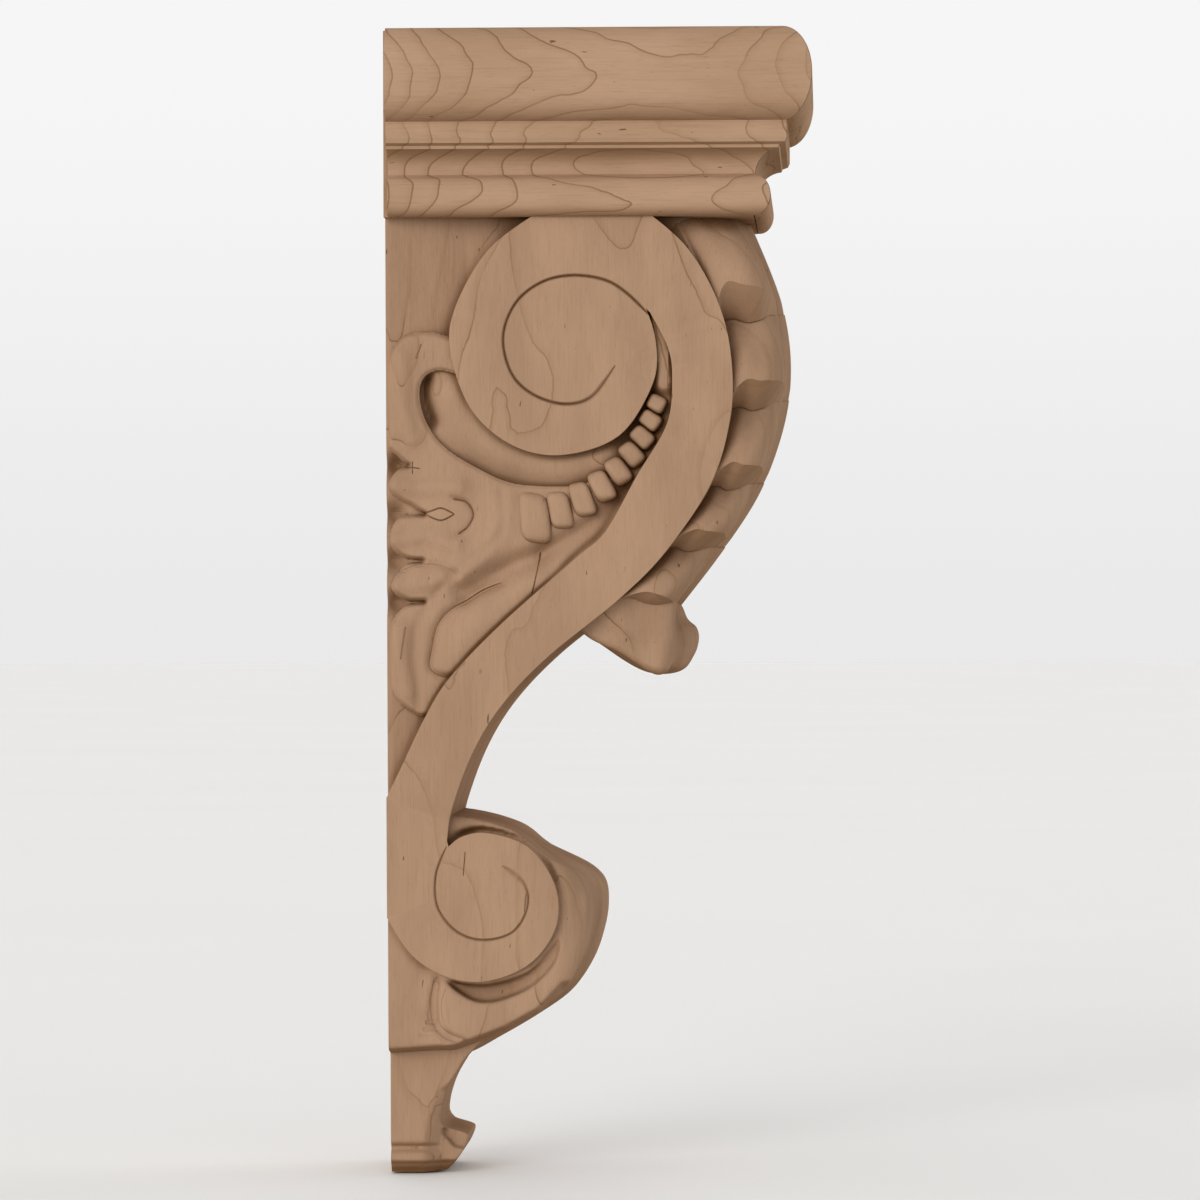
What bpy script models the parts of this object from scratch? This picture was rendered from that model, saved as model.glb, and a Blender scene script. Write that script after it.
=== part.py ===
"""Carved wooden corbel bracket: one carved block under three mitred cap mouldings.

Z is up. The wall face lies on y = 0 and the bracket stands out from it towards -Y.
X runs across the width. The origin is the middle of the wall face.
Sizes are in metres, and the outlines are drawn in millimetres, as (out, down):
out from the back end of the cap, and down from its top.
"""

import math

import bmesh
import bpy
from mathutils import Vector

MM = 0.001
SIDES = ((-1, "left"), (1, "right"))

# Overall sizes
HEIGHT = 0.330
TOP = HEIGHT / 2
CAP_WIDTH = 0.127
CAP_PROJECTION = 0.0169
HEAD_HALF = CAP_WIDTH / 2 - CAP_PROJECTION
CAP_BACK = 0.0013
HEAD_OUT = 0.1051 + CAP_BACK
HEAD_BOTTOM = 0.0536
JOINT_GAP = 0.0003

# Tolerances of the mesh work
WELD = 0.00002
TOUCHING = 1e-6
SHARP_ANGLE = math.radians(30)

# Steps to each span of a drawn curve
FINE = 4
MEDIUM = 3
COARSE = 2

# Half widths of the carved block, from its middle to each face
SCROLL_HALF = 0.0464
PANEL_HALF = 0.0365
PANEL_BACK_HALF = 0.0425
LEAF_HALF = 0.0445
TIP_HALF = 0.0412
LOWER_LEAF_HALF = 0.0435
TAIL_HALF = 0.0320

# Rounded rims of the carving, and how far the side leaf sinks into its panel
LEAF_EDGE = 0.0015
FOLD_EDGE = 0.0012
TIP_ROUNDING = 0.003
LOWER_LEAF_ROUNDING = 0.004
TAIL_ROUNDING = 0.0025
LEAF_SINK = 0.002

# The block starts behind the wall face, and one wide cut trims it flush
BEHIND_WALL = 0.003
WALL_CUT_DEPTH = 0.020
WALL_CUT_MARGIN = 0.010
WALL_CUT_HALF = 0.080

# The block gets narrower in a straight taper from the cap down to the tail
TAPER_START = 0.052
TAPER = 0.20

# Incised line that winds the volutes
GROOVE_WIDTH = 0.0016
GROOVE_DEPTH = 0.0022
GROOVE_CLEARANCE = 0.0006

# Graduated beads around the large volute, from its throat to the side leaf
VOLUTE_CENTRE = (0.0475, 0.0915)
BEAD_COUNT = 9
BEAD_TOP = 0.0455
BEAD_ROOT = 0.0345
BEAD_FIRST_TURN = math.radians(28)
BEAD_STEP = math.radians(8.6)
BEAD_REACH = (0.0333, 0.0488)
BEAD_REACH_POWER = 1.3
BEAD_LENGTH = (0.0054, 0.0108)
BEAD_LAST_STRETCH = 1.25
BEAD_SPACING = 0.0005
BEAD_ROUNDING = 0.0016

# The front leaf hangs in five overlapping lobes
LEAF_SIDE_HALF = 0.0438
LEAF_STEPS_PER_LOBE = 6
LEAF_ARCH_POINTS = 25
LEAF_ARCH_POWER = 4.0
LOBE_SWELL = 0.15
LOBE_SWELL_POWER = 1.3
LOBE_ROOT = 0.10
LOBE_RUN = 0.62
LIP_ABOVE = 0.02
LIP_BELOW = 0.04
LEAF_INNER_DEPTH = 0.35
LEAF_RIB = 0.0012
LEAF_RIB_WIDTH = 0.10
LEAF_CHANNEL = 0.0022
LEAF_CHANNEL_PLACE = 0.42
LEAF_CHANNEL_WIDTH = 0.16

# Leaf ends are built from sections across the width
SECTION_COUNT = 16
SIDE_LOBE_START = 0.42
SIDE_LOBE_END = 0.80
FLUTE_PLACE = 0.58
FLUTE_WIDTH = 0.12
FLUTE_DEPTH = 0.0016

# Small reliefs
CRESCENT_DEPTH = 0.006
CRESCENT_CLEARANCE = 0.004
FOLD_RISE = 0.0014
VEIN_DEPTH = 0.0014

# Cap moulding, as (projection, down) in millimetres: roll, fillet, cove and bead
ROLL_CENTRE = (7.9, 13.6)
ROLL_RADII = (9.0, 13.6)
ROLL_TURN = (-90, 78)
FILLET = [(9.6, 27.3), (9.6, 31.6), (9.0, 33.0), (7.6, 33.6)]
COVE_CENTRE = (9.0, 41.6)
COVE_RADII = (8.4, 7.2)
COVE_TURN = (-102, -180)
SMALL_ROLL_CENTRE = (0.5, 47.8)
SMALL_ROLL_RADII = (4.4, 5.7)
SMALL_ROLL_TURN = (-76, 84)
MOULDING_BOTTOM = 53.5

WOOD_COLOUR = (0.456, 0.279, 0.178, 1.0)
CAP_COLOUR = (0.439, 0.262, 0.165, 1.0)
WOOD_ROUGHNESS = 0.55

# Outlines in millimetres, as (out, down)
VOLUTE_EDGE = [(43.5, 52.0), (28.8, 63.0), (19.3, 79.3), (17.7, 92.0), (23.6, 108.7), (35.5, 119.2),
               (50.0, 122.0), (66.3, 116.4), (75.9, 101.6), (76.9, 90.0), (74.2, 80.2)]
RIBBON_INNER = [(75.2, 81.2), (80.2, 91.0), (81.5, 100.0), (79.9, 113.2), (71.2, 128.1), (62.2, 143.9),
                (53.3, 151.9), (32.3, 170.3), (17.3, 185.8), (10.0, 197.3), (3.1, 211.6), (-2.0, 222.0)]
SMALL_VOLUTE_EDGE = [(-2.0, 254.0), (5.8, 266.0), (16.2, 272.4), (27.7, 273.5), (40.0, 268.4), (47.4, 258.0),
                     (47.2, 246.0), (39.6, 234.9), (27.8, 230.8), (20.5, 231.8), (16.6, 234.6)]
RIBBON_OUTER = [(16.1, 233.0), (17.6, 223.5), (23.7, 207.4), (32.3, 193.6), (45.6, 179.8), (65.9, 163.5),
                (79.5, 149.7), (92.5, 130.4), (98.0, 112.0), (98.6, 96.0), (95.2, 79.5), (86.3, 63.1),
                (74.0, 52.0)]

VOLUTE_GROOVE = [(75.6, 82.6), (69.0, 76.0), (62.4, 71.9), (52.9, 70.5), (44.0, 72.5), (36.6, 78.4),
                 (33.0, 88.0), (35.3, 98.4), (41.5, 104.6), (50.5, 107.4), (58.5, 105.3), (65.2, 96.4)]
SMALL_GROOVE = [(16.0, 234.6), (12.9, 243.0), (13.4, 252.2), (18.8, 259.2), (26.5, 261.7), (35.0, 259.4),
                (39.3, 252.2), (38.4, 245.4), (32.1, 240.2)]

CORE_EDGE = [(-3.0, 45.0), (80.0, 45.0), (93.0, 80.0), (93.0, 112.0), (80.0, 140.0), (60.0, 160.0),
             (34.0, 180.0), (14.0, 206.0), (9.0, 240.0), (-3.0, 240.0)]

PANEL_BACK_REACH = 22.0
PANEL_BACK_EDGE = [(-9.0, 45.0), (PANEL_BACK_REACH, 45.0), (PANEL_BACK_REACH, 186.0), (8.0, 208.0),
                   (1.0, 224.0), (-9.0, 224.0)]
SIDE_LEAF_CURL = [(19.0, 88.4), (14.1, 86.8), (10.0, 86.3), (4.6, 87.2), (0.8, 90.8), (-1.0, 96.0)]
SIDE_LEAF_LOBES = [(-1.0, 120.3, 5.0, 124.6), (-1.0, 130.6, 9.0, 139.1), (-1.0, 145.0, 9.0, 152.1),
                   (-1.0, 160.0, 9.5, 164.2)]
SIDE_LOBE_IN = 1.5
SIDE_LOBE_DOWN = 1.4
SIDE_NOTCH_DOWN = 1.6
SIDE_LEAF_UNDER_RIBBON = [(24.0, 186.0), (60.0, 152.0), (76.0, 126.0)]
SIDE_LEAF_LOW_EDGE = [(4.3, 164.9), (-0.8, 170.0), (-1.2, 187.8), (3.7, 195.0), (9.6, 198.0)]
SIDE_LEAF_HOLLOW = [(19.0, 98.4), (14.0, 97.4), (9.9, 99.4), (8.5, 104.5), (10.4, 112.2), (15.4, 119.2),
                    (24.6, 125.3), (36.2, 130.2), (52.0, 131.0)]

LEAF_FRONT = [(103.0, 54.0), (113.3, 79.0), (114.9, 104.0), (107.9, 128.5), (96.5, 147.5), (81.6, 167.0)]
LEAF_BACK = [(84.0, 52.0), (96.0, 83.0), (98.2, 108.5), (92.0, 131.0), (80.1, 148.7), (66.6, 164.2)]
TIP_SIDE = [(48.0, 164.0), (64.0, 157.0), (80.2, 161.0), (81.3, 170.4), (81.2, 176.6), (80.4, 181.4),
            (78.8, 184.8), (75.0, 185.0), (65.8, 179.0), (55.8, 173.8)]
TIP_MIDDLE = [(48.0, 164.0), (64.0, 157.0), (80.4, 163.0), (84.6, 169.4), (87.2, 171.8), (87.9, 175.4),
              (86.4, 180.2), (82.2, 184.8), (72.0, 184.4), (58.4, 175.4)]

LOWER_LEAF_MIDDLE = [(-9.0, 226.0), (17.3, 225.9), (33.5, 229.9), (43.2, 235.4), (53.7, 240.4), (58.1, 243.4),
                     (60.4, 246.6), (61.1, 251.4), (60.4, 258.4), (57.2, 268.4), (51.2, 277.4), (42.0, 284.2),
                     (30.4, 291.0), (19.4, 297.8), (9.6, 296.8), (-9.0, 297.2)]
LOWER_LEAF_SIDE = [(-9.0, 226.0), (17.3, 225.9), (33.5, 229.8), (41.6, 235.4), (45.4, 238.2), (51.0, 241.2),
                   (54.4, 245.0), (56.4, 250.6), (56.4, 257.6), (54.4, 266.8), (49.8, 276.2), (42.2, 283.4),
                   (29.8, 290.6), (19.2, 297.0), (9.6, 296.8), (-9.0, 297.2)]
CRESCENT = [(15.6, 273.2), (18.2, 276.6), (24.4, 279.9), (31.5, 279.4), (40.6, 275.4), (47.4, 268.2),
            (48.6, 261.0), (46.6, 262.6), (40.8, 269.6), (35.0, 272.6), (27.7, 274.4), (21.0, 274.2)]
FOLD = [(44.0, 160.4), (36.0, 159.6), (28.6, 160.0), (18.8, 166.4), (12.8, 174.4), (10.8, 182.0),
        (13.0, 186.4), (18.6, 186.6), (26.0, 180.0), (44.0, 166.0)]
TAIL_MIDDLE = [(-9.0, 284.0), (26.0, 286.0), (19.4, 298.0), (15.4, 305.0), (13.2, 312.2), (13.8, 316.6),
               (20.0, 318.9), (20.9, 320.4), (19.0, 324.6), (15.8, 328.4), (12.0, 330.0), (-9.0, 330.0)]
TAIL_SIDE = [(-9.0, 284.0), (26.0, 286.0), (19.0, 298.0), (15.0, 305.0), (12.8, 312.2), (12.8, 316.0),
             (14.6, 318.6), (16.6, 320.6), (16.4, 324.6), (14.6, 328.2), (11.4, 330.0), (-9.0, 330.0)]

# Incised veins of the side leaf
SIDE_VEINS = [[(28.5, 130.2), (31.7, 136.0), (32.2, 141.8), (30.2, 147.5), (22.4, 154.2)],
              [(18.7, 134.6), (22.7, 137.2), (23.9, 139.8), (22.4, 143.2), (19.0, 144.7)],
              [(4.0, 156.5), (14.1, 153.3), (19.3, 155.9)],
              [(4.2, 170.9), (2.8, 181.0)]]


def clear_scene():
    for item in list(bpy.data.objects):
        bpy.data.objects.remove(item, do_unlink=True)


def wood(name, colour):
    """Plain wood: its colour and a dull, dry surface."""
    material = bpy.data.materials.new(name)
    material.use_nodes = True
    shader = material.node_tree.nodes["Principled BSDF"]
    shader.inputs["Base Color"].default_value = colour
    shader.inputs["Roughness"].default_value = WOOD_ROUGHNESS
    shader.inputs["Metallic"].default_value = 0.0
    return material


def place(x, out, down):
    """A point at x across, out from the wall and down from the top."""
    return Vector((x, -out, TOP - down))


def curve_through(points, steps):
    """A smooth open curve through the points, with a few steps to each span."""
    ends = [points[0]] + list(points) + [points[-1]]
    curve = []
    for index in range(1, len(ends) - 2):
        before, start, end, after = ends[index - 1:index + 3]
        for step in range(steps):
            t = step / steps
            curve.append(tuple(
                0.5 * (2 * q + (r - p) * t + (2 * p - 5 * q + 4 * r - s) * t ** 2
                       + (3 * q - p - 3 * r + s) * t ** 3)
                for p, q, r, s in zip(before, start, end, after)))
    curve.append(tuple(points[-1]))
    return curve


def to_metres(outline):
    """A drawn outline as distances from the wall face and from the top."""
    return [(out * MM + CAP_BACK, down * MM) for out, down in outline]


def half_width_ratio(down):
    """How much of its full width the block keeps at this depth below the top."""
    return 1.0 - TAPER * max(down - TAPER_START, 0.0) / (HEIGHT - TAPER_START)


def finish_mesh(bm, name):
    """A closed mesh that faces out, narrowed to the block's taper."""
    bmesh.ops.remove_doubles(bm, verts=bm.verts, dist=WELD)
    for vertex in bm.verts:
        vertex.co.x *= half_width_ratio(TOP - vertex.co.z)
    bmesh.ops.recalc_face_normals(bm, faces=bm.faces)
    mesh = bpy.data.meshes.new(name)
    bm.to_mesh(mesh)
    bm.free()
    return mesh


def new_object(name, mesh, material=None):
    item = bpy.data.objects.new(name, mesh)
    bpy.context.scene.collection.objects.link(item)
    if material:
        mesh.materials.append(material)
    return item


def helper(name, mesh, group):
    """A body that only takes part in a boolean."""
    item = bpy.data.objects.new(name, mesh)
    group.objects.link(item)
    item.hide_render = True
    item.display_type = "WIRE"
    return item


def slab(outline, from_x, to_x, edge=0.0):
    """A flat shape pushed through from one x to the other, with its outer rim eased off."""
    bm = bmesh.new()
    corners = [bm.verts.new(place(from_x, out, down)) for out, down in outline]
    base = bm.faces.new(corners)
    moved = bmesh.ops.extrude_face_region(bm, geom=[base])
    far_corners = [item for item in moved["geom"] if isinstance(item, bmesh.types.BMVert)]
    bmesh.ops.translate(bm, verts=far_corners, vec=(to_x - from_x, 0, 0))
    if edge:
        rim = [e for e in bm.edges if all(abs(v.co.x - to_x) < TOUCHING for v in e.verts)]
        bmesh.ops.bevel(bm, geom=rim, offset=edge, segments=1, profile=0.5,
                        affect="EDGES", clamp_overlap=True, material=-1)
    return bm


def scroll_outline():
    """The large volute, the ribbon of the S and the small volute, as one closed line."""
    runs = [curve_through(VOLUTE_EDGE, FINE), curve_through(RIBBON_INNER, MEDIUM),
            curve_through(SMALL_VOLUTE_EDGE, FINE), curve_through(RIBBON_OUTER, MEDIUM)]
    return to_metres([point for run in runs for point in run])


def side_leaf_outline():
    """Curl, lobed edge and underside of the leaf carved on each side panel."""
    edge = curve_through(SIDE_LEAF_CURL, MEDIUM)
    for tip_out, tip_down, notch_out, notch_down in SIDE_LEAF_LOBES:
        bulge = (tip_out + notch_out) / 2 - SIDE_LOBE_IN
        edge.append((tip_out, tip_down))
        edge.append((bulge, (tip_down + notch_down) / 2 + SIDE_LOBE_DOWN))
        edge.append((notch_out, notch_down))
        edge.append((bulge, notch_down + SIDE_NOTCH_DOWN))
    edge += curve_through(SIDE_LEAF_LOW_EDGE, COARSE)
    hollow = curve_through(SIDE_LEAF_HOLLOW, MEDIUM)
    return to_metres(edge + SIDE_LEAF_UNDER_RIBBON + hollow[::-1])


def bead_bodies(side):
    """Blocks that grow from the throat of the volute down to the leaf."""
    bodies = []
    for index in range(BEAD_COUNT):
        share = index / (BEAD_COUNT - 1)
        turn = BEAD_FIRST_TURN + BEAD_STEP * index
        reach = BEAD_REACH[0] + (BEAD_REACH[1] - BEAD_REACH[0]) * share ** BEAD_REACH_POWER
        breadth = reach * math.sin(BEAD_STEP / 2) - BEAD_SPACING / 2
        length = (BEAD_LENGTH[0] + (BEAD_LENGTH[1] - BEAD_LENGTH[0]) * share) / 2
        if index == BEAD_COUNT - 1:
            length *= BEAD_LAST_STRETCH
        centre_out = VOLUTE_CENTRE[0] + CAP_BACK + reach * math.cos(turn)
        centre_down = VOLUTE_CENTRE[1] + reach * math.sin(turn)
        bm = bmesh.new()
        bmesh.ops.create_cube(bm, size=2.0)
        for vertex in bm.verts:
            along = vertex.co.y * length
            across = vertex.co.z * breadth * (1.0 + along / reach)
            out = centre_out + along * math.cos(turn) - across * math.sin(turn)
            down = centre_down + along * math.sin(turn) + across * math.cos(turn)
            x = side * (BEAD_TOP if vertex.co.x > 0 else BEAD_ROOT)
            vertex.co = place(x, out, down)
        top = [e for e in bm.edges if all(abs(abs(v.co.x) - BEAD_TOP) < TOUCHING for v in e.verts)]
        bmesh.ops.bevel(bm, geom=top, offset=BEAD_ROUNDING, segments=2, profile=0.5, affect="EDGES",
                        clamp_overlap=True, material=-1)
        bodies.append(bm)
    return bodies


def lobe_half_width(position):
    """Each lobe swells out below the one above it, and rounds in to its own lower lip."""
    share = position - math.floor(position)
    swell = math.sin(math.pi * (LOBE_ROOT + LOBE_RUN * share)) ** LOBE_SWELL_POWER
    return LEAF_SIDE_HALF * (1.0 - LOBE_SWELL + LOBE_SWELL * swell)


def arched_section(start, root, half):
    """One section of the front leaf: an arch from side to side, with a rib and two channels."""
    section = []
    for point in range(LEAF_ARCH_POINTS):
        turn = math.pi * point / (LEAF_ARCH_POINTS - 1)
        x = math.copysign(abs(math.cos(turn)) ** (2 / LEAF_ARCH_POWER), math.cos(turn)) * half
        rise = math.sin(turn) ** (2 / LEAF_ARCH_POWER)
        offset = (abs(x) / half - LEAF_CHANNEL_PLACE) / LEAF_CHANNEL_WIDTH
        channel = LEAF_CHANNEL * math.exp(-offset ** 2)
        rib = LEAF_RIB * (math.exp(-(x / half / LEAF_RIB_WIDTH) ** 2) - 1.0)
        here = root.lerp(start, rise + (rib - channel) / (start - root).length)
        section.append(place(x, here.x, here.y))
    inner = root.lerp(start, -LEAF_INNER_DEPTH)
    return section + [place(-half, inner.x, inner.y), place(half, inner.x, inner.y)]


def front_leaf():
    """The leaf on the front: one arched section after another, from the cap to the last lobe."""
    lobes = len(LEAF_FRONT) - 1
    steps = LEAF_STEPS_PER_LOBE
    front = [Vector(point) for point in to_metres(curve_through(LEAF_FRONT, steps))]
    back = [Vector(point) for point in to_metres(curve_through(LEAF_BACK, steps))]
    bm = bmesh.new()
    rings = []
    for index in range(lobes * steps + 1):
        nudges = [0.0]
        if index and index % steps == 0 and index < lobes * steps:
            nudges = [-LIP_ABOVE, LIP_BELOW]
        for nudge in nudges:
            half = lobe_half_width(min(index / steps + nudge, lobes - LIP_ABOVE))
            nearby = min(index + 1, lobes * steps) if nudge > 0 else max(index - 1, 0)
            pull = abs(nudge) * steps
            start = front[index].lerp(front[nearby], pull)
            root = back[index].lerp(back[nearby], pull)
            rings.append([bm.verts.new(spot) for spot in arched_section(start, root, half)])
    join_rings(bm, rings)
    return bm


def leaf_end(middle, side, half, rounding):
    """A body of sections across the width: the side outline at both faces, the middle one between."""
    bm = bmesh.new()
    middle = [Vector(point) for point in to_metres(middle)]
    side = [Vector(point) for point in to_metres(side)]
    rings = []
    for index in range(SECTION_COUNT + 1):
        share = -math.cos(math.pi * index / SECTION_COUNT)
        lean = (abs(share) - SIDE_LOBE_START) / (SIDE_LOBE_END - SIDE_LOBE_START)
        lean = min(max(lean, 0.0), 1.0)
        lean = lean * lean * (3.0 - 2.0 * lean)
        outline = [start.lerp(end, lean) for start, end in zip(middle, side)]
        centre = sum(outline, Vector((0.0, 0.0))) / len(outline)
        reach = max(point.x for point in outline) - centre.x
        past = max(abs(share) * half - (half - rounding), 0.0) / rounding
        inset = rounding * (1.0 - math.sqrt(max(1.0 - past ** 2, 0.0)))
        flute = FLUTE_DEPTH * math.exp(-((abs(share) - FLUTE_PLACE) / FLUTE_WIDTH) ** 2)
        ring = []
        for point in outline:
            arm = point - centre
            pull = inset + flute * max(arm.x, 0.0) / reach
            here = centre + arm * (1.0 - pull / arm.length)
            ring.append(bm.verts.new(place(share * half, here.x, here.y)))
        rings.append(ring)
    join_rings(bm, rings)
    return bm


def join_rings(bm, rings):
    """A closed skin over one ring of points after another."""
    for upper, lower in zip(rings, rings[1:]):
        for point in range(len(upper)):
            following = (point + 1) % len(upper)
            bm.faces.new((upper[point], upper[following], lower[following], lower[point]))
    bm.faces.new(rings[0])
    bm.faces.new(rings[-1][::-1])


def groove(points, side, surface, depth):
    """A narrow wedge that follows a line on one carved face."""
    line = to_metres(curve_through(points, FINE))
    face = side * (surface + GROOVE_CLEARANCE)
    floor = side * (surface - depth)
    bm = bmesh.new()
    rings = []
    for index, (out, down) in enumerate(line):
        before = line[max(index - 1, 0)]
        after = line[min(index + 1, len(line) - 1)]
        heading = Vector((after[0] - before[0], after[1] - before[1])).normalized()
        across = Vector((-heading.y, heading.x)) * GROOVE_WIDTH / 2
        rings.append([bm.verts.new(place(face, out + across.x, down + across.y)),
                      bm.verts.new(place(floor, out, down)),
                      bm.verts.new(place(face, out - across.x, down - across.y))])
    join_rings(bm, rings)
    return bm


def panel_back():
    """The ground of the side panels, which rises towards the wall."""
    bm = slab(to_metres(PANEL_BACK_EDGE), -1.0, 1.0)
    for vertex in bm.verts:
        share = -vertex.co.y / (PANEL_BACK_REACH * MM)
        vertex.co.x *= PANEL_BACK_HALF + (PANEL_HALF - PANEL_BACK_HALF) * share
    return bm


def joined_bodies():
    """Everything that is joined to the core of the block, each with its name."""
    head_line = [(-BEHIND_WALL, 0.0), (HEAD_OUT, 0.0), (HEAD_OUT, HEAD_BOTTOM), (-BEHIND_WALL, HEAD_BOTTOM)]
    fold_line = to_metres(curve_through(FOLD, COARSE))
    cup = leaf_end(LOWER_LEAF_MIDDLE, LOWER_LEAF_SIDE, LOWER_LEAF_HALF, LOWER_LEAF_ROUNDING)
    bodies = [("head", slab(head_line, -HEAD_HALF, HEAD_HALF)),
              ("scroll", slab(scroll_outline(), -SCROLL_HALF, SCROLL_HALF)),
              ("front_leaf", front_leaf()),
              ("panel_back", panel_back()),
              ("front_tip", leaf_end(TIP_MIDDLE, TIP_SIDE, TIP_HALF, TIP_ROUNDING)),
              ("lower_leaf", cup),
              ("tail", leaf_end(TAIL_MIDDLE, TAIL_SIDE, TAIL_HALF, TAIL_ROUNDING))]
    for side, label in SIDES:
        leaf = slab(side_leaf_outline(), side * (PANEL_HALF - LEAF_SINK), side * LEAF_HALF, LEAF_EDGE)
        bodies.append(("side_leaf_" + label, leaf))
        fold = slab(fold_line, side * PANEL_HALF, side * (LEAF_HALF + FOLD_RISE), FOLD_EDGE)
        bodies.append(("fold_" + label, fold))
        for number, bead in enumerate(bead_bodies(side), 1):
            bodies.append(("bead_%s_%d" % (label, number), bead))
    return bodies


def cutting_bodies():
    """Everything that is cut out of the block, each with its name."""
    crescent_line = to_metres(curve_through(CRESCENT, COARSE))
    incised = [(line, SCROLL_HALF, GROOVE_DEPTH) for line in (VOLUTE_GROOVE, SMALL_GROOVE)]
    incised += [(line, LEAF_HALF, VEIN_DEPTH) for line in SIDE_VEINS]
    bodies = []
    for side, label in SIDES:
        crescent = slab(crescent_line, side * (LOWER_LEAF_HALF + CRESCENT_CLEARANCE),
                        side * (LOWER_LEAF_HALF - CRESCENT_DEPTH))
        bodies.append(("crescent_" + label, crescent))
        for number, (line, surface, depth) in enumerate(incised, 1):
            bodies.append(("incised_%s_%d" % (label, number), groove(line, side, surface, depth)))
    above = -WALL_CUT_MARGIN
    below = HEIGHT + WALL_CUT_MARGIN
    wall_line = [(-WALL_CUT_DEPTH, above), (0.0, above), (0.0, below), (-WALL_CUT_DEPTH, below)]
    bodies.append(("wall", slab(wall_line, -WALL_CUT_HALF, WALL_CUT_HALF)))
    return bodies


def carve(block, operation, bodies):
    """Joins bodies to the block, or cuts them out of it."""
    group = bpy.data.collections.new("carving_" + operation.lower())
    bpy.context.scene.collection.children.link(group)
    for name, bm in bodies:
        helper(name, finish_mesh(bm, name), group)
    step = block.modifiers.new(group.name, "BOOLEAN")
    step.operation = operation
    step.operand_type = "COLLECTION"
    step.collection = group
    step.solver = "EXACT"


def carved_bracket(material):
    """The one carved block: head, scrolls, side leaves, beads, front leaf, cup and tail."""
    core = slab(to_metres(curve_through(CORE_EDGE, COARSE)), -PANEL_HALF, PANEL_HALF)
    block = new_object("carved_bracket", finish_mesh(core, "carved_bracket"), material)
    carve(block, "UNION", joined_bodies())
    carve(block, "DIFFERENCE", cutting_bodies())


def arc(centre, radii, turn, steps):
    """Points on part of an ellipse, between two angles in degrees."""
    points = []
    for step in range(steps + 1):
        angle = math.radians(turn[0] + (turn[1] - turn[0]) * step / steps)
        points.append((centre[0] + radii[0] * math.cos(angle), centre[1] + radii[1] * math.sin(angle)))
    return points


def cap_profile():
    """Roll, fillet, cove and bead, as (projection, down) in metres."""
    profile = [(JOINT_GAP / MM, 0.0)]
    profile += arc(ROLL_CENTRE, ROLL_RADII, ROLL_TURN, 12)
    profile += FILLET
    profile += arc(COVE_CENTRE, COVE_RADII, COVE_TURN, 5)
    profile += arc(SMALL_ROLL_CENTRE, SMALL_ROLL_RADII, SMALL_ROLL_TURN, 8)
    profile += [(JOINT_GAP / MM, MOULDING_BOTTOM)]
    return [(projection * MM, down * MM) for projection, down in profile]


def mitred_moulding(name, direction, material):
    """One length of cap moulding. Its ends are cut to 45 degrees at the front corners."""
    profile = cap_profile()
    bm = bmesh.new()
    ends = []
    for end in (0, 1):
        ring = []
        for projection, down in profile:
            if direction == "front":
                reach = HEAD_HALF + projection - JOINT_GAP / 2
                x = -reach if end == 0 else reach
                out = HEAD_OUT + projection
            else:
                x = (HEAD_HALF + projection) * (-1 if direction == "left" else 1)
                out = CAP_BACK if end == 0 else HEAD_OUT + projection - JOINT_GAP / 2
            ring.append(bm.verts.new(place(x, out, down)))
        ends.append(ring)
    count = len(profile)
    for point in range(count):
        following = (point + 1) % count
        bm.faces.new((ends[0][point], ends[0][following], ends[1][following], ends[1][point]))
    bm.faces.new(ends[0])
    bm.faces.new(ends[1][::-1])
    bmesh.ops.recalc_face_normals(bm, faces=bm.faces)
    mesh = bpy.data.meshes.new(name)
    bm.to_mesh(mesh)
    bm.free()
    new_object(name, mesh, material)
    mesh.shade_smooth()
    mesh.set_sharp_from_angle(angle=SHARP_ANGLE)


def build():
    clear_scene()
    carved_bracket(wood("carved_wood", WOOD_COLOUR))
    cap_wood = wood("cap_wood", CAP_COLOUR)
    for direction in ("left", "front", "right"):
        mitred_moulding("cap_moulding_" + direction, direction, cap_wood)


build()
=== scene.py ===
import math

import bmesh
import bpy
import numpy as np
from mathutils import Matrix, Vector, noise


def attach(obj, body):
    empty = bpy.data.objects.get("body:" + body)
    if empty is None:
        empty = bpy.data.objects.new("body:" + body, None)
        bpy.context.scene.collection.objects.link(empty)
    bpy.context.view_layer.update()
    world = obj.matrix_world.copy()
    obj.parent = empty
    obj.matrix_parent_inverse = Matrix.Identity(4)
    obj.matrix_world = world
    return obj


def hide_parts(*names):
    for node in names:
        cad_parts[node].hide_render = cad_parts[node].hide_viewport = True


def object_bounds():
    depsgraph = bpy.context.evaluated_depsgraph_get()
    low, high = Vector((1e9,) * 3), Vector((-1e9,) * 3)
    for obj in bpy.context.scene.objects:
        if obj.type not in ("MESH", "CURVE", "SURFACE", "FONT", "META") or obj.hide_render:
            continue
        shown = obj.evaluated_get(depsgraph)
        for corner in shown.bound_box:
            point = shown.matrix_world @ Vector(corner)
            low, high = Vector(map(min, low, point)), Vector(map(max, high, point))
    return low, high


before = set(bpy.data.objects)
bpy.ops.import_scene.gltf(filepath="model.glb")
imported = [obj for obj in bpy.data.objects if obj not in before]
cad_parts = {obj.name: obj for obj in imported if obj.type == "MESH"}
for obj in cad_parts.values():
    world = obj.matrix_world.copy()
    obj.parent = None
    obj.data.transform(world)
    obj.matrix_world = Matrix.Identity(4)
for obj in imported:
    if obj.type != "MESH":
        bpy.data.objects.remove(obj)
cad_low, cad_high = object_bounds()

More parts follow.
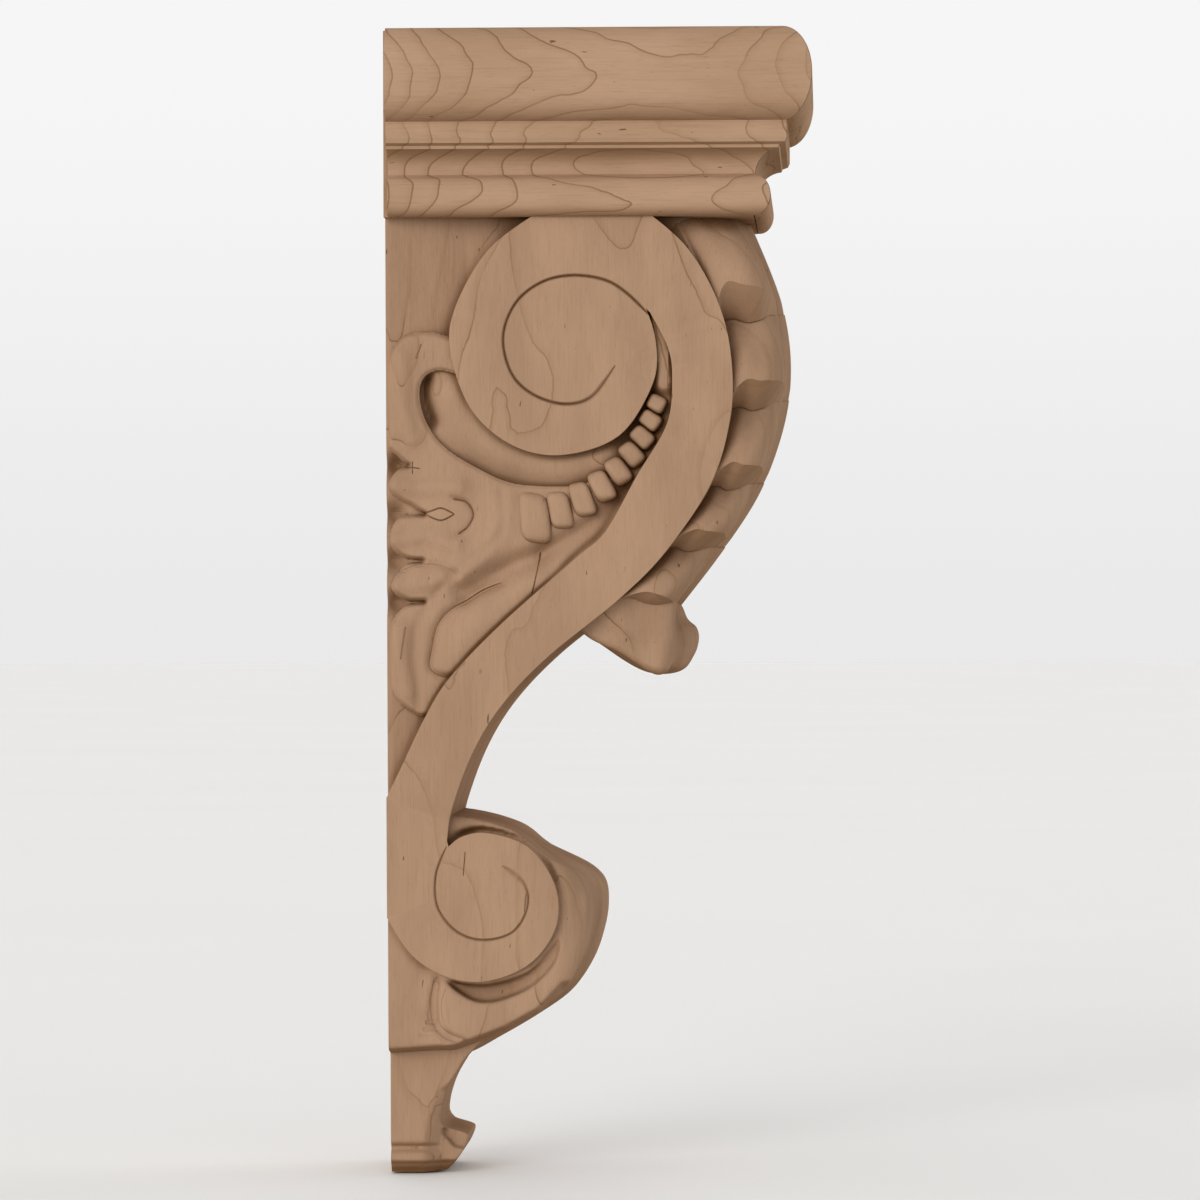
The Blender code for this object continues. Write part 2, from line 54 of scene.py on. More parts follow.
# The finished look of the carved corbel: bare alder, cut by hand, under a mitred cap.
# Every shape is drawn in millimetres on the side of the bracket, as (out, down): out from the
# back end of the cap and down from its top. Half widths run from the middle of the block.
# A relief is a list of soft hollows, (line, depth, width), and a swelling has a depth below zero.
# Cuts are the gouge's V-shaped lines, (line, half width, depth, swelling at its end).

MM = 0.001

# Sizes read from the fixed frame
TOP = cad_high.z
HEIGHT = cad_high.z - cad_low.z
CAP_HALF = cad_high.x
CAP_FRONT = -cad_low.y

# The cap and the square head inside it
CAP_BACK = 1.3
CAP_PROJECTION = 16.9
HEAD_HALF = CAP_HALF / MM - CAP_PROJECTION
HEAD_OUT = CAP_FRONT / MM - CAP_PROJECTION
HEAD_BOTTOM = 53.6
CAP_EDGE = 0.3
MITRE_GAP = 0.15

# The block's half width at each carved face, before it tapers towards its foot
SCROLL_HALF = 46.4
PANEL_HALF = 36.5
PANEL_BACK_HALF = 42.5
LEAF_HALF = 44.5
TIP_HALF = 41.2
LOWER_LEAF_HALF = 43.5
TAIL_HALF = 32.0
TAPER_START = 52.0
TAPER = 0.20

# Where bodies overlap at the wall, all but one stop this far short, so that no faces coincide
GROUND_SHORT = 0.2
LOWER_LEAF_SHORT = 0.1

# How far the hand tool wanders from a true face
UNEVENNESS = 0.25

# The scrolls: four runs that join to one outline, two incised spirals and two nicks
VOLUTE_EDGE = [(43.5, 52.0), (28.8, 63.0), (19.3, 79.3), (17.7, 92.0), (23.6, 108.7), (35.5, 119.2),
               (50.0, 122.0), (66.3, 116.4), (75.9, 101.6), (76.9, 90.0), (74.2, 80.2)]
RIBBON_INNER = [(75.2, 81.2), (80.2, 91.0), (81.5, 100.0), (79.9, 113.2), (71.2, 128.1), (62.2, 143.9),
                (53.3, 151.9), (32.3, 170.3), (17.3, 185.8), (10.0, 197.3), (3.1, 211.6), (-2.0, 222.0)]
SMALL_VOLUTE_EDGE = [(-2.0, 254.0), (5.8, 266.0), (16.2, 272.4), (27.7, 273.5), (40.0, 268.4), (47.4, 258.0),
                     (47.2, 246.0), (39.6, 234.9), (27.8, 230.8), (20.5, 231.8), (16.6, 234.6)]
RIBBON_OUTER = [(16.1, 233.0), (17.6, 223.5), (23.7, 207.4), (32.3, 193.6), (45.6, 179.8), (65.9, 163.5),
                (79.5, 149.7), (92.5, 130.4), (98.0, 112.0), (98.6, 96.0), (95.2, 79.5), (86.3, 63.1),
                (74.0, 52.0)]
VOLUTE_GROOVE = [(75.6, 82.6), (69.0, 76.0), (62.4, 71.9), (52.9, 70.5), (44.0, 72.5), (36.6, 78.4),
                 (33.0, 88.0), (35.3, 98.4), (41.5, 104.6), (50.5, 107.4), (58.5, 105.3), (65.2, 96.4)]
SMALL_GROOVE = [(16.0, 234.6), (12.9, 243.0), (13.4, 252.2), (18.8, 259.2), (26.5, 261.7), (35.0, 259.4),
                (39.3, 252.2), (38.4, 245.4), (32.1, 240.2)]
DISC_SLIT = [(21.4, 236.0), (20.8, 243.2)]
DISC_TICK = [(39.0, 248.0), (38.4, 253.8)]
SCROLL_CUTS = [(VOLUTE_GROOVE, 0.75, 0.55, 0.5), (SMALL_GROOVE, 0.68, 0.45, 0.9), (DISC_SLIT, 0.26, 0.2, 0.0),
               (DISC_TICK, 0.4, 0.25, 0.0)]
SCROLL_ARRIS = 0.35

# The sunk panels: they slope for this far out from the wall, and stay this far under the scrolls
CORE_EDGE = [(-3.0, 45.0), (80.0, 45.0), (93.0, 80.0), (93.0, 112.0), (80.0, 140.0), (60.0, 160.0),
             (34.0, 180.0), (14.0, 206.0), (9.0, 240.0), (-3.0, 240.0)]
PANEL_SLOPE = 22.0
PANEL_UNDER_SCROLL = 2.0
THROAT_STEM = [(77.4, 84.0), (78.6, 92.0), (79.2, 101.0)]
UNDER_VOLUTE = [(20.0, 104.4), (25.2, 113.6), (35.4, 121.4), (48.0, 124.6), (60.2, 122.4)]
BEAD_GUTTER = [(80.8, 107.4), (79.6, 113.0), (76.0, 120.4), (70.4, 129.4)]
HOLLOW_END = [(9.8, 99.6), (9.4, 105.0), (11.4, 112.0)]
PANEL_RELIEF = [(THROAT_STEM, -9.4, 4.6), (UNDER_VOLUTE, -5.8, 8.6), (BEAD_GUTTER, -4.6, 2.6),
                (HOLLOW_END, 4.5, 2.3)]
LEAF_NOTCHES = [(1.6, 124.8), (1.0, 139.0), (1.0, 152.4), (1.4, 164.4)]
NOTCH_DEPTH = 5.0
NOTCH_WIDTH = 3.4

# The side leaf's outline: its curled top, three lobes, its low edge and the hollow by the volute
SIDE_LEAF_CURL = [(19.0, 88.4), (14.1, 86.8), (10.0, 86.3), (4.6, 87.2), (0.8, 90.8), (-0.9, 96.0),
                  (-1.0, 108.0), (-0.8, 119.6)]
SIDE_LEAF_LOBES = [[(5.0, 124.7), (1.6, 126.6), (-0.6, 130.4), (1.4, 134.0), (6.4, 136.6)],
                   [(10.0, 138.9), (4.6, 138.7), (1.0, 141.4), (-0.4, 146.4), (1.4, 149.8), (5.0, 151.8)],
                   [(8.7, 152.4), (4.4, 153.2), (0.9, 157.2), (0.2, 160.0), (2.0, 162.4), (5.6, 164.1)]]
SIDE_LEAF_LOW_EDGE = [(9.8, 164.1), (5.0, 164.7), (1.0, 168.4), (-0.4, 173.0), (-0.8, 186.0), (0.0, 190.2),
                      (3.4, 194.4), (9.6, 197.2), (17.0, 196.0)]
SIDE_LEAF_HOLLOW = [(19.0, 98.4), (14.0, 97.4), (9.9, 99.4), (8.5, 104.5), (10.4, 112.2), (15.4, 119.2),
                    (24.6, 125.3), (36.2, 130.2), (52.0, 131.0)]
SIDE_LEAF_INNER = [(24.0, 186.0), (60.0, 152.0), (76.0, 126.0)]

# The side leaf's modelling: ridges, scoops and folds, then creases, then lines cut with the gouge
LOBE_CENTRES = [[(2.0, 130.4), (10.0, 131.2), (20.0, 131.0)], [(2.0, 146.0), (10.0, 145.0), (19.0, 148.0)],
                [(2.6, 159.4), (10.0, 158.4), (15.0, 157.6)], [(2.4, 172.0), (3.0, 181.0), (4.6, 190.0)],
                [(4.0, 94.0), (3.8, 106.0), (6.6, 117.0)]]
LOBE_SWELL = 1.6
LOBE_WIDTH = 3.0
LEAF_RIDGE = [(33.0, 135.0), (32.6, 141.0), (28.0, 148.6), (22.0, 154.6)]
LEAF_SCOOP = [(42.0, 151.6), (36.0, 153.8), (29.0, 157.4), (21.5, 161.8)]
BEAD_SHADOW = [(45.0, 149.6), (54.0, 144.6), (61.0, 138.6), (67.0, 131.4)]
FOLD_BACK = [(42.0, 158.6), (30.0, 167.0), (20.0, 176.0), (16.0, 183.0)]
LONG_CREASE = [(32.0, 132.9), (32.8, 138.8), (31.4, 145.4), (26.2, 149.9), (19.5, 155.0), (15.1, 159.4),
               (11.4, 164.6), (7.7, 171.2), (7.0, 179.3), (7.7, 187.4), (7.8, 194.6)]
U_FOLD = [(32.0, 158.6), (26.6, 160.8), (21.8, 163.8), (16.7, 166.8), (13.3, 171.2), (11.9, 177.1),
          (11.1, 182.3), (12.9, 184.8), (17.2, 186.2)]
HOOK = [(18.1, 134.5), (22.1, 135.5), (24.0, 138.9), (22.4, 142.5), (19.6, 144.7)]
THIRD_LOBE_ARC = [(2.3, 155.4), (7.7, 153.6), (13.8, 153.6), (19.5, 156.2)]
NOTCH_CREASES = [[(0.0, 124.8), (5.4, 125.0)], [(0.0, 139.0), (9.6, 138.9)], [(0.0, 152.4), (9.4, 152.2)],
                 [(0.0, 164.4), (9.4, 164.2)]]
SIDE_LEAF_RELIEF = [(LEAF_RIDGE, -1.8, 4.2), (LEAF_SCOOP, 3.8, 3.6), (BEAD_SHADOW, 3.0, 3.0),
                    (FOLD_BACK, -1.6, 5.0)]
SIDE_LEAF_CREASES = [(LONG_CREASE, 0.7, 1.6), (U_FOLD, 1.3, 1.3), (HOOK, 0.6, 0.9),
                     (THIRD_LOBE_ARC, 0.7, 1.2)]
SIDE_LEAF_CREASES += [(crease, 1.4, 0.8) for crease in NOTCH_CREASES]
EYE_UPPER = [(9.6, 138.9), (12.6, 137.7), (15.0, 137.2), (18.6, 138.9)]
EYE_LOWER = [(10.6, 139.1), (12.8, 140.2), (15.2, 140.6), (18.6, 138.9)]
RIBBON_TUCK = [(43.2, 149.8), (42.2, 156.0), (41.0, 162.2)]
CURL_SLIT = [(9.3, 89.8), (7.8, 94.2)]
LOBE_SLIT = [(4.5, 171.2), (3.7, 176.0), (3.0, 180.8)]
CROSS_NICK_UP = [(6.5, 123.6), (6.5, 127.3)]
CROSS_NICK_LEVEL = [(4.1, 125.1), (8.7, 125.7)]
SIDE_LEAF_CUTS = [(U_FOLD, 0.6, 0.28, 0.0), (HOOK, 0.5, 0.3, 0.0), (THIRD_LOBE_ARC, 0.5, 0.14, 0.0),
                  (EYE_UPPER, 0.4, 0.28, 0.0), (EYE_LOWER, 0.4, 0.28, 0.0), (CURL_SLIT, 0.5, 0.22, 0.0),
                  (LOBE_SLIT, 0.45, 0.22, 0.0), (CROSS_NICK_UP, 0.25, 0.22, 0.0),
                  (CROSS_NICK_LEVEL, 0.25, 0.22, 0.0), (RIBBON_TUCK, 0.4, 0.28, 0.0)]

# The beads: a row that turns about the volute's middle and grows from the first to the last
VOLUTE_CENTRE = (47.5, 91.5)
BEAD_COUNT = 9
BEAD_TOP = 45.3
BEAD_ROOT = 34.5
BEAD_FIRST_TURN = math.radians(28)
BEAD_STEP = math.radians(8.6)
BEAD_REACH = (33.3, 48.8)
BEAD_LENGTH = (5.4, 10.8)
BEAD_LAST_STRETCH = 1.25
BEAD_LAST_SPREAD = 1.25
BEAD_SPACING = 0.3
BEAD_SQUARENESS = 3.8
BEAD_FILL = 1.08
BEAD_SHEAR = 0.2
BEAD_LEAN = 0.4

# The front leaf: its middle line and its root from lobe to lobe, and the section between its sides
LEAF_FRONT = [(102.6, 51.0), (113.3, 79.0), (114.9, 104.0), (107.9, 128.5), (96.5, 147.5), (81.6, 167.0)]
LEAF_BACK = [(83.4, 50.0), (96.0, 83.0), (98.2, 108.5), (92.0, 131.0), (80.1, 148.7), (66.6, 164.2)]
LEAF_SIDE_HALF = 43.8
LEAF_ARCH_POWER = 5.5
LOBE_ROWS = 26
LEAF_COLUMNS = 141
LIP_START = 0.84
LIP_FALL = 0.92
LOBE_NARROWING = 0.23
LOBE_FALL = 2.2
RIB_HEIGHT = 1.4
CHANNEL_DEPTH = 1.8
VEIN_DEPTH = 1.0

# The curled tip of the front leaf, at its sides and in its middle
TIP_SIDE = [(48.0, 164.0), (64.0, 157.0), (80.2, 161.0), (81.3, 170.4), (81.2, 176.6), (80.4, 181.4),
            (78.8, 184.8), (75.0, 185.0), (65.8, 179.0), (55.8, 173.8)]
TIP_MIDDLE = [(48.0, 164.0), (64.0, 157.0), (80.4, 163.0), (84.6, 169.4), (87.2, 171.8), (87.9, 175.4),
              (86.4, 180.2), (82.2, 184.8), (72.0, 184.4), (58.4, 175.4)]
TIP_HOLLOW = [(56.0, 170.0), (66.0, 175.5), (76.0, 180.0)]

# The lower leaf, which cups the small volute
LOWER_LEAF_TOP = [(-9.0, 280.0), (-9.0, 240.0), (-9.0, 229.0), (-5.0, 226.0), (17.3, 225.9)]
LOWER_LEAF_FOOT = [(9.6, 295.4), (-4.0, 295.4), (-9.0, 293.0)]
LOWER_LEAF_MIDDLE = LOWER_LEAF_TOP + [
    (33.5, 229.9), (43.2, 235.4), (53.7, 240.4), (58.1, 243.4), (60.4, 246.6), (61.1, 251.4), (60.4, 258.4),
    (57.2, 268.4), (51.2, 277.4), (42.0, 284.2), (30.4, 291.0), (19.4, 296.4)] + LOWER_LEAF_FOOT
LOWER_LEAF_SIDE = LOWER_LEAF_TOP + [
    (33.5, 229.8), (41.6, 235.4), (45.4, 238.2), (51.0, 241.2), (54.4, 245.0), (56.4, 250.6), (56.4, 257.6),
    (54.4, 266.8), (49.8, 276.2), (42.2, 283.4), (29.8, 290.6), (19.2, 295.6)] + LOWER_LEAF_FOOT
CRESCENT = [(15.6, 273.2), (18.2, 276.6), (24.4, 279.9), (31.5, 279.4), (40.6, 275.4), (47.4, 268.2),
            (48.6, 261.0), (46.6, 262.6), (40.8, 269.6), (35.0, 272.6), (27.7, 274.4), (21.0, 274.2)]
CUP_LIP = [(-3.0, 293.6), (9.8, 292.6), (17.2, 292.2), (23.4, 290.2), (32.6, 286.8), (42.0, 281.6),
           (49.0, 274.0)]
CUP_FOLD_OUTER = [(13.0, 272.6), (11.8, 279.0), (12.4, 285.7), (15.6, 289.4), (20.4, 291.2)]
CUP_FOLD_INNER = [(15.6, 275.6), (14.2, 280.4), (15.0, 286.0), (17.6, 290.0)]
CUP_GOUGES = [[(8.6, 287.4), (13.0, 287.0)], [(7.6, 289.4), (12.4, 289.8)], [(9.4, 285.6), (12.6, 285.2)]]
CUP_SHOULDER = 3.2
CUP_FALL = 6.4
CUP_LIP_DEPTH = 11.5
CUP_RELIEF = [([(9.8, 268.0), (8.6, 276.0), (9.6, 285.0)], 1.0, 3.0),
              ([(51.6, 241.6), (53.6, 246.2), (54.0, 252.0)], 1.2, 1.9), (CUP_FOLD_OUTER, 1.8, 1.3)]
CUP_CUTS = [(CUP_FOLD_OUTER, 0.8, 0.07, 0.0), (CUP_FOLD_INNER, 0.5, 0.14, 0.0)]
CUP_CUTS += [(gouge, 0.9, 0.16, 0.0) for gouge in CUP_GOUGES]

# The tail, its crease as far out as at each depth, and the scoop behind its point
TAIL_MIDDLE = [(-9.0, 284.0), (26.0, 286.0), (19.4, 298.0), (15.4, 305.0), (13.2, 312.2), (13.8, 316.6),
               (20.0, 318.9), (20.9, 320.4), (19.0, 324.6), (15.8, 328.4), (12.0, 330.0), (-9.0, 330.0)]
TAIL_SIDE = [(-9.0, 284.0), (26.0, 286.0), (19.0, 298.0), (15.0, 305.0), (12.8, 312.2), (12.8, 316.0),
             (14.6, 318.6), (16.6, 320.6), (16.4, 324.6), (14.6, 328.2), (11.4, 330.0), (-9.0, 330.0)]
TAIL_CREASE = [(25.0, 296.0), (12.5, 306.0), (9.4, 314.0), (8.4, 320.0)]
TAIL_SCOOP = [(13.0, 318.4), (15.0, 316.6), (24.0, 314.6), (25.0, 319.0), (24.0, 323.0), (17.6, 323.2),
              (15.2, 321.2)]


def drawn(x, out, down):
    """Points at x across, out and down, in millimetres, as places in metres."""
    return np.stack(np.broadcast_arrays(x * MM, -(out + CAP_BACK) * MM, TOP - down * MM), axis=-1)


def taper(down):
    """How much of its full width the block keeps at this depth."""
    return 1.0 - TAPER * np.maximum(down - TAPER_START, 0.0) / (HEIGHT / MM - TAPER_START)


def curve_through(points, steps):
    """A smooth open curve through the points."""
    ends = np.array([points[0]] + list(points) + [points[-1]], float)
    t = np.arange(steps)[:, None] / steps
    spans = []
    for p, q, r, s in zip(ends, ends[1:], ends[2:], ends[3:]):
        spans.append(0.5 * (2 * q + (r - p) * t + (2 * p - 5 * q + 4 * r - s) * t ** 2
                            + (3 * q - p - 3 * r + s) * t ** 3))
    return np.vstack(spans + [ends[-1:]])


def closed_curve(points, steps):
    """A smooth closed curve through the points."""
    return curve_through(points[-1:] + points + points[:2], steps)[steps:-(steps + 1)]


def distance_to(spots, line):
    """How far each spot is from a line of short spans."""
    best = np.full(len(spots), np.inf)
    for start, end in zip(line[:-1], line[1:]):
        along = end - start
        share = np.clip((spots - start) @ along / max(along @ along, 1e-9), 0.0, 1.0)
        best = np.minimum(best, np.hypot(*(spots - start - share[:, None] * along).T))
    return best


def depth_within(spots, outline):
    """How deep each spot lies inside a closed outline; below zero outside it."""
    inside = np.zeros(len(spots), bool)
    for (x0, y0), (x1, y1) in zip(outline, np.roll(outline, -1, axis=0)):
        crosses = (y0 > spots[:, 1]) != (y1 > spots[:, 1])
        rise = y1 - y0 if abs(y1 - y0) > 1e-9 else 1e-9
        inside ^= crosses & (spots[:, 0] < (x1 - x0) * (spots[:, 1] - y0) / rise + x0)
    return distance_to(spots, np.vstack([outline, outline[:1]])) * np.where(inside, 1.0, -1.0)


def ease(value, low, high):
    """0 at low, 1 at high, and a smooth step between."""
    share = np.clip((value - low) / (high - low), 0.0, 1.0)
    return share * share * (3.0 - 2.0 * share)


def swale(spots, line, depth, width):
    """How deep a soft hollow along a line goes at each spot."""
    return depth * np.exp(-(distance_to(spots, curve_through(line, 6)) / width) ** 2)


def rubbed(distance, depth, width):
    """How much an arris is rubbed away at this distance from it."""
    return depth * np.clip(1.0 - distance / width, 0.0, 1.0) ** 2


def waver(spots, size, seed):
    """The slight unevenness that a hand tool leaves, between -1 and 1, in patches of this size."""
    return np.array([noise.noise(Vector((out / size, down / size, seed))) for out, down in spots])


def new_item(name, bm, sharp=35.0):
    """A finished mesh in the scene, smooth but for arrises sharper than this many degrees."""
    bmesh.ops.recalc_face_normals(bm, faces=bm.faces)
    mesh = bpy.data.meshes.new(name)
    bm.to_mesh(mesh)
    bm.free()
    mesh.shade_smooth()
    mesh.set_sharp_from_angle(angle=math.radians(sharp))
    item = bpy.data.objects.new(name, mesh)
    bpy.context.scene.collection.objects.link(item)
    return item


def worked(item, sharp=35.0):
    """The item with its modifiers made final."""
    graph = bpy.context.evaluated_depsgraph_get()
    shaped = bpy.data.meshes.new_from_object(item.evaluated_get(graph))
    item.modifiers.clear()
    item.data = shaped
    shaped.shade_smooth()
    shaped.set_sharp_from_angle(angle=math.radians(sharp))
    return item


def carve(item, tools, operation="DIFFERENCE", sharp=35.0):
    """Cuts or trims an item with tools, which are then thrown away."""
    for tool in tools:
        step = item.modifiers.new("carve", "BOOLEAN")
        step.operation = operation
        step.object = tool
        step.solver = "EXACT"
    worked(item, sharp)
    for tool in tools:
        bpy.data.objects.remove(tool, do_unlink=True)
    return item


def skin(name, rings, sharp=35.0):
    """A closed body whose skin passes through one ring of points after another."""
    steps, count = rings.shape[:2]
    bm = bmesh.new()
    bmesh.ops.create_grid(bm, x_segments=count, y_segments=steps - 1, size=1.0)
    for vertex in bm.verts:
        place = round((vertex.co.x + 1.0) / 2.0 * count) % count
        step = round((vertex.co.y + 1.0) / 2.0 * (steps - 1))
        vertex.co = rings[step, place]
    bmesh.ops.remove_doubles(bm, verts=bm.verts, dist=1e-7)
    bmesh.ops.holes_fill(bm, edges=[edge for edge in bm.edges if edge.is_boundary], sides=0)
    return new_item(name, bm, sharp)


def plate(name, outline, half, edge=0.0, sharp=20.0):
    """A flat shape pushed right through the block and tapered with it, its arrises eased."""
    bm = bmesh.new()
    base = bm.faces.new([bm.verts.new(drawn(-half, out, down)) for out, down in outline])
    for vertex in bmesh.ops.extrude_face_region(bm, geom=[base])["geom"]:
        if isinstance(vertex, bmesh.types.BMVert):
            vertex.co.x = half * MM
    if edge:
        rims = [e for e in bm.edges if abs(e.verts[0].co.x - e.verts[1].co.x) < 1e-7]
        bmesh.ops.bevel(bm, geom=rims, offset=edge * MM, segments=2, profile=0.5, affect="EDGES",
                        clamp_overlap=True, material=-1)
    for vertex in bm.verts:
        vertex.co.x *= float(taper((TOP - vertex.co.z) / MM))
    return new_item(name, bm, sharp)


def relief(name, outline, height, spacing):
    """A body with the outline's walls. A formula sets how far both its faces stand from the middle, on
    a grid of this spacing in millimetres."""
    low = outline.min(0) - 1.0
    high = outline.max(0) + 1.0
    columns, rows = np.ceil((high - low) / spacing).astype(int)
    bm = bmesh.new()
    bmesh.ops.create_grid(bm, x_segments=int(columns), y_segments=int(rows), size=1.0)
    spots = low + (np.array([vertex.co[:2] for vertex in bm.verts]) + 1.0) / 2.0 * (high - low)
    places = drawn(-height(spots) * taper(spots[:, 1]), spots[:, 0], spots[:, 1])
    for vertex, place in zip(bm.verts, places):
        vertex.co = place
    for vertex in bmesh.ops.extrude_face_region(bm, geom=bm.faces[:])["geom"]:
        if isinstance(vertex, bmesh.types.BMVert):
            vertex.co.x = -vertex.co.x
    return carve(new_item(name, bm), [plate("trim", outline, 2.0 * SCROLL_HALF)], "INTERSECT")


def fused(name, bodies, cube, rounds):
    """Bodies that run into each other, made one skin of cubes this many millimetres wide, and rubbed
    down in rounds."""
    bm = bmesh.new()
    for piece in bodies:
        bm.from_mesh(piece.data)
        bpy.data.objects.remove(piece, do_unlink=True)
    item = new_item(name, bm)
    step = item.modifiers.new("one_skin", "REMESH")
    step.mode = "VOXEL"
    step.voxel_size = cube * MM
    worked(item, 180.0)
    bm = bmesh.new()
    bm.from_mesh(item.data)
    for _ in range(rounds):
        bmesh.ops.smooth_vert(bm, verts=bm.verts, factor=0.5, use_axis_x=True, use_axis_y=True,
                              use_axis_z=True)
    bm.to_mesh(item.data)
    bm.free()
    return item


def sawn(item, short=0.0):
    """Everything behind the wall face, or this many millimetres short of it, and below the foot is
    sawn off flat."""
    bm = bmesh.new()
    bm.from_mesh(item.data)
    for corner, facing in (((0.0, -short * MM, 0.0), (0.0, 1.0, 0.0)),
                           ((0.0, 0.0, cad_low.z), (0.0, 0.0, -1.0))):
        cut = bmesh.ops.bisect_plane(bm, geom=bm.verts[:] + bm.edges[:] + bm.faces[:], dist=1e-7,
                                     plane_co=corner, plane_no=facing, clear_outer=True)
        rim = [edge for edge in cut["geom_cut"] if isinstance(edge, bmesh.types.BMEdge)]
        bmesh.ops.holes_fill(bm, edges=rim, sides=0)
    bmesh.ops.triangulate(bm, faces=[face for face in bm.faces if len(face.verts) > 4])
    bm.to_mesh(item.data)
    bm.free()
    return item


# The gouge's section: (across, rise), in half widths of the cut and in its depth, or above the
# face in millimetres
GOUGE = [(-1.5, 1.2), (-1.0, 0.05), (-0.7, -0.2), (-0.35, -1.0), (0.0, -2.0), (0.35, -1.0), (0.7, -0.2),
         (1.0, 0.05), (1.5, 1.2)]


def gouge_cuts(lines, surface):
    """The bodies of V-shaped cuts along lines, on both faces of the block."""
    cuts = []
    for points, width, depth, swelling in lines:
        line = curve_through(points, 8)
        ahead = np.gradient(line, axis=0)
        ahead /= np.hypot(*ahead.T)[:, None]
        share = np.linspace(0.0, 1.0, len(line))
        fade = np.minimum(1.0, 0.3 + 12.0 * np.minimum(share, 1.0 - share))
        grown = width * fade * (1.0 + swelling * np.exp(-((share - 0.94) / 0.08) ** 2))
        stand = surface(line)
        for side in (-1, 1):
            rings = np.empty((len(line), len(GOUGE), 3))
            for place, (across, rise) in enumerate(GOUGE):
                out = line[:, 0] - ahead[:, 1] * across * grown
                down = line[:, 1] + ahead[:, 0] * across * grown
                level = stand + (rise if rise > 0 else rise * depth * fade)
                rings[:, place] = drawn(side * level * taper(down), out, down)
            cuts.append(skin("gouge", rings))
    return cuts


def level_face(stand):
    """A flat carved face at this half width."""
    return lambda spots: np.full(len(spots), stand)


def head_block():
    """The square head inside the mouldings."""
    bm = bmesh.new()
    bmesh.ops.create_cube(bm, size=1.0)
    for vertex in bm.verts:
        vertex.co.x *= 2.0 * HEAD_HALF * MM
        vertex.co.y = -HEAD_OUT * MM if vertex.co.y < 0 else 0.0
        vertex.co.z = TOP if vertex.co.z > 0 else TOP - HEAD_BOTTOM * MM
    bmesh.ops.subdivide_edges(bm, edges=bm.edges[:], cuts=3, use_grid_fill=True)
    return new_item("head_block", bm)


def scroll_line(steps):
    """The large volute, the ribbon of the S and the small volute, as one closed line."""
    runs = [VOLUTE_EDGE, RIBBON_INNER, SMALL_VOLUTE_EDGE, RIBBON_OUTER]
    line = np.vstack([curve_through(run, steps) for run in runs])
    return line[np.hypot(*(line - np.roll(line, 1, axis=0)).T) > 0.02]


def scrolls():
    """Both S-shaped faces, with the incised spirals of the volutes."""
    body = plate("scroll_sides", scroll_line(9), SCROLL_HALF, SCROLL_ARRIS)
    return sawn(carve(body, gouge_cuts(SCROLL_CUTS, level_face(SCROLL_HALF)), sharp=20.0))


def ground_height(spots):
    """The sunk panels: they rise towards the wall, dip against the scrolls and swell in the throat."""
    rise = PANEL_BACK_HALF + (PANEL_HALF - PANEL_BACK_HALF) * np.clip(spots[:, 0] / PANEL_SLOPE, 0.0, 1.0)
    rise -= 0.5 * np.exp(-(distance_to(spots, scroll_line(3)) / 1.4) ** 2)
    for line, depth, width in PANEL_RELIEF:
        rise -= swale(spots, line, depth, width)
    for notch in LEAF_NOTCHES:
        rise -= NOTCH_DEPTH * np.exp(-(np.hypot(*(spots - notch).T) / NOTCH_WIDTH) ** 2)
    return np.minimum(rise, SCROLL_HALF - PANEL_UNDER_SCROLL) + UNEVENNESS * waver(spots, 9.0, 3.1)


def panel_ground():
    """The middle of the block, whose faces are the sunk panels."""
    return sawn(relief("panel_ground", curve_through(CORE_EDGE, 3), ground_height, spacing=0.8), GROUND_SHORT)


def side_leaf_line():
    """The outer edge of the side leaf, lobe by lobe."""
    lobes = [curve_through(lobe, 5) for lobe in SIDE_LEAF_LOBES]
    return np.vstack([curve_through(SIDE_LEAF_CURL, 6)] + lobes + [curve_through(SIDE_LEAF_LOW_EDGE, 6)])


def side_leaf_height(spots):
    """Fingers that swell between notches, a rounded ridge, a scoop, and a long fold beside the ribbon."""
    ribbon = distance_to(spots, curve_through(RIBBON_INNER, 5))
    upper = ease(spots[:, 1], 158.0, 146.0)
    stand = np.full(len(spots), LEAF_HALF - 1.2)
    for centre in LOBE_CENTRES:
        stand += swale(spots, centre, LOBE_SWELL, LOBE_WIDTH)
    stand -= rubbed(distance_to(spots, side_leaf_line()), 1.9, 1.7)
    stand -= rubbed(distance_to(spots, curve_through(SIDE_LEAF_HOLLOW, 6)), 1.1, 1.4)
    for line, depth, width in SIDE_LEAF_RELIEF:
        stand -= swale(spots, line, depth, width)
    stand -= (0.9 + 2.6 * upper) * np.exp(-(ribbon / (0.9 + 1.6 * upper)) ** 2)
    for line, depth, width in SIDE_LEAF_CREASES:
        stand -= swale(spots, line, depth, width)
    return stand + UNEVENNESS * waver(spots, 6.0, 7.7)


def side_leaves():
    """The side leaf, on both sides of the block."""
    edge = np.vstack([side_leaf_line(), SIDE_LEAF_INNER, curve_through(SIDE_LEAF_HOLLOW, 6)[::-1]])
    body = relief("side_leaves", edge, side_leaf_height, spacing=0.36)
    return carve(body, gouge_cuts(SIDE_LEAF_CUTS, side_leaf_height))


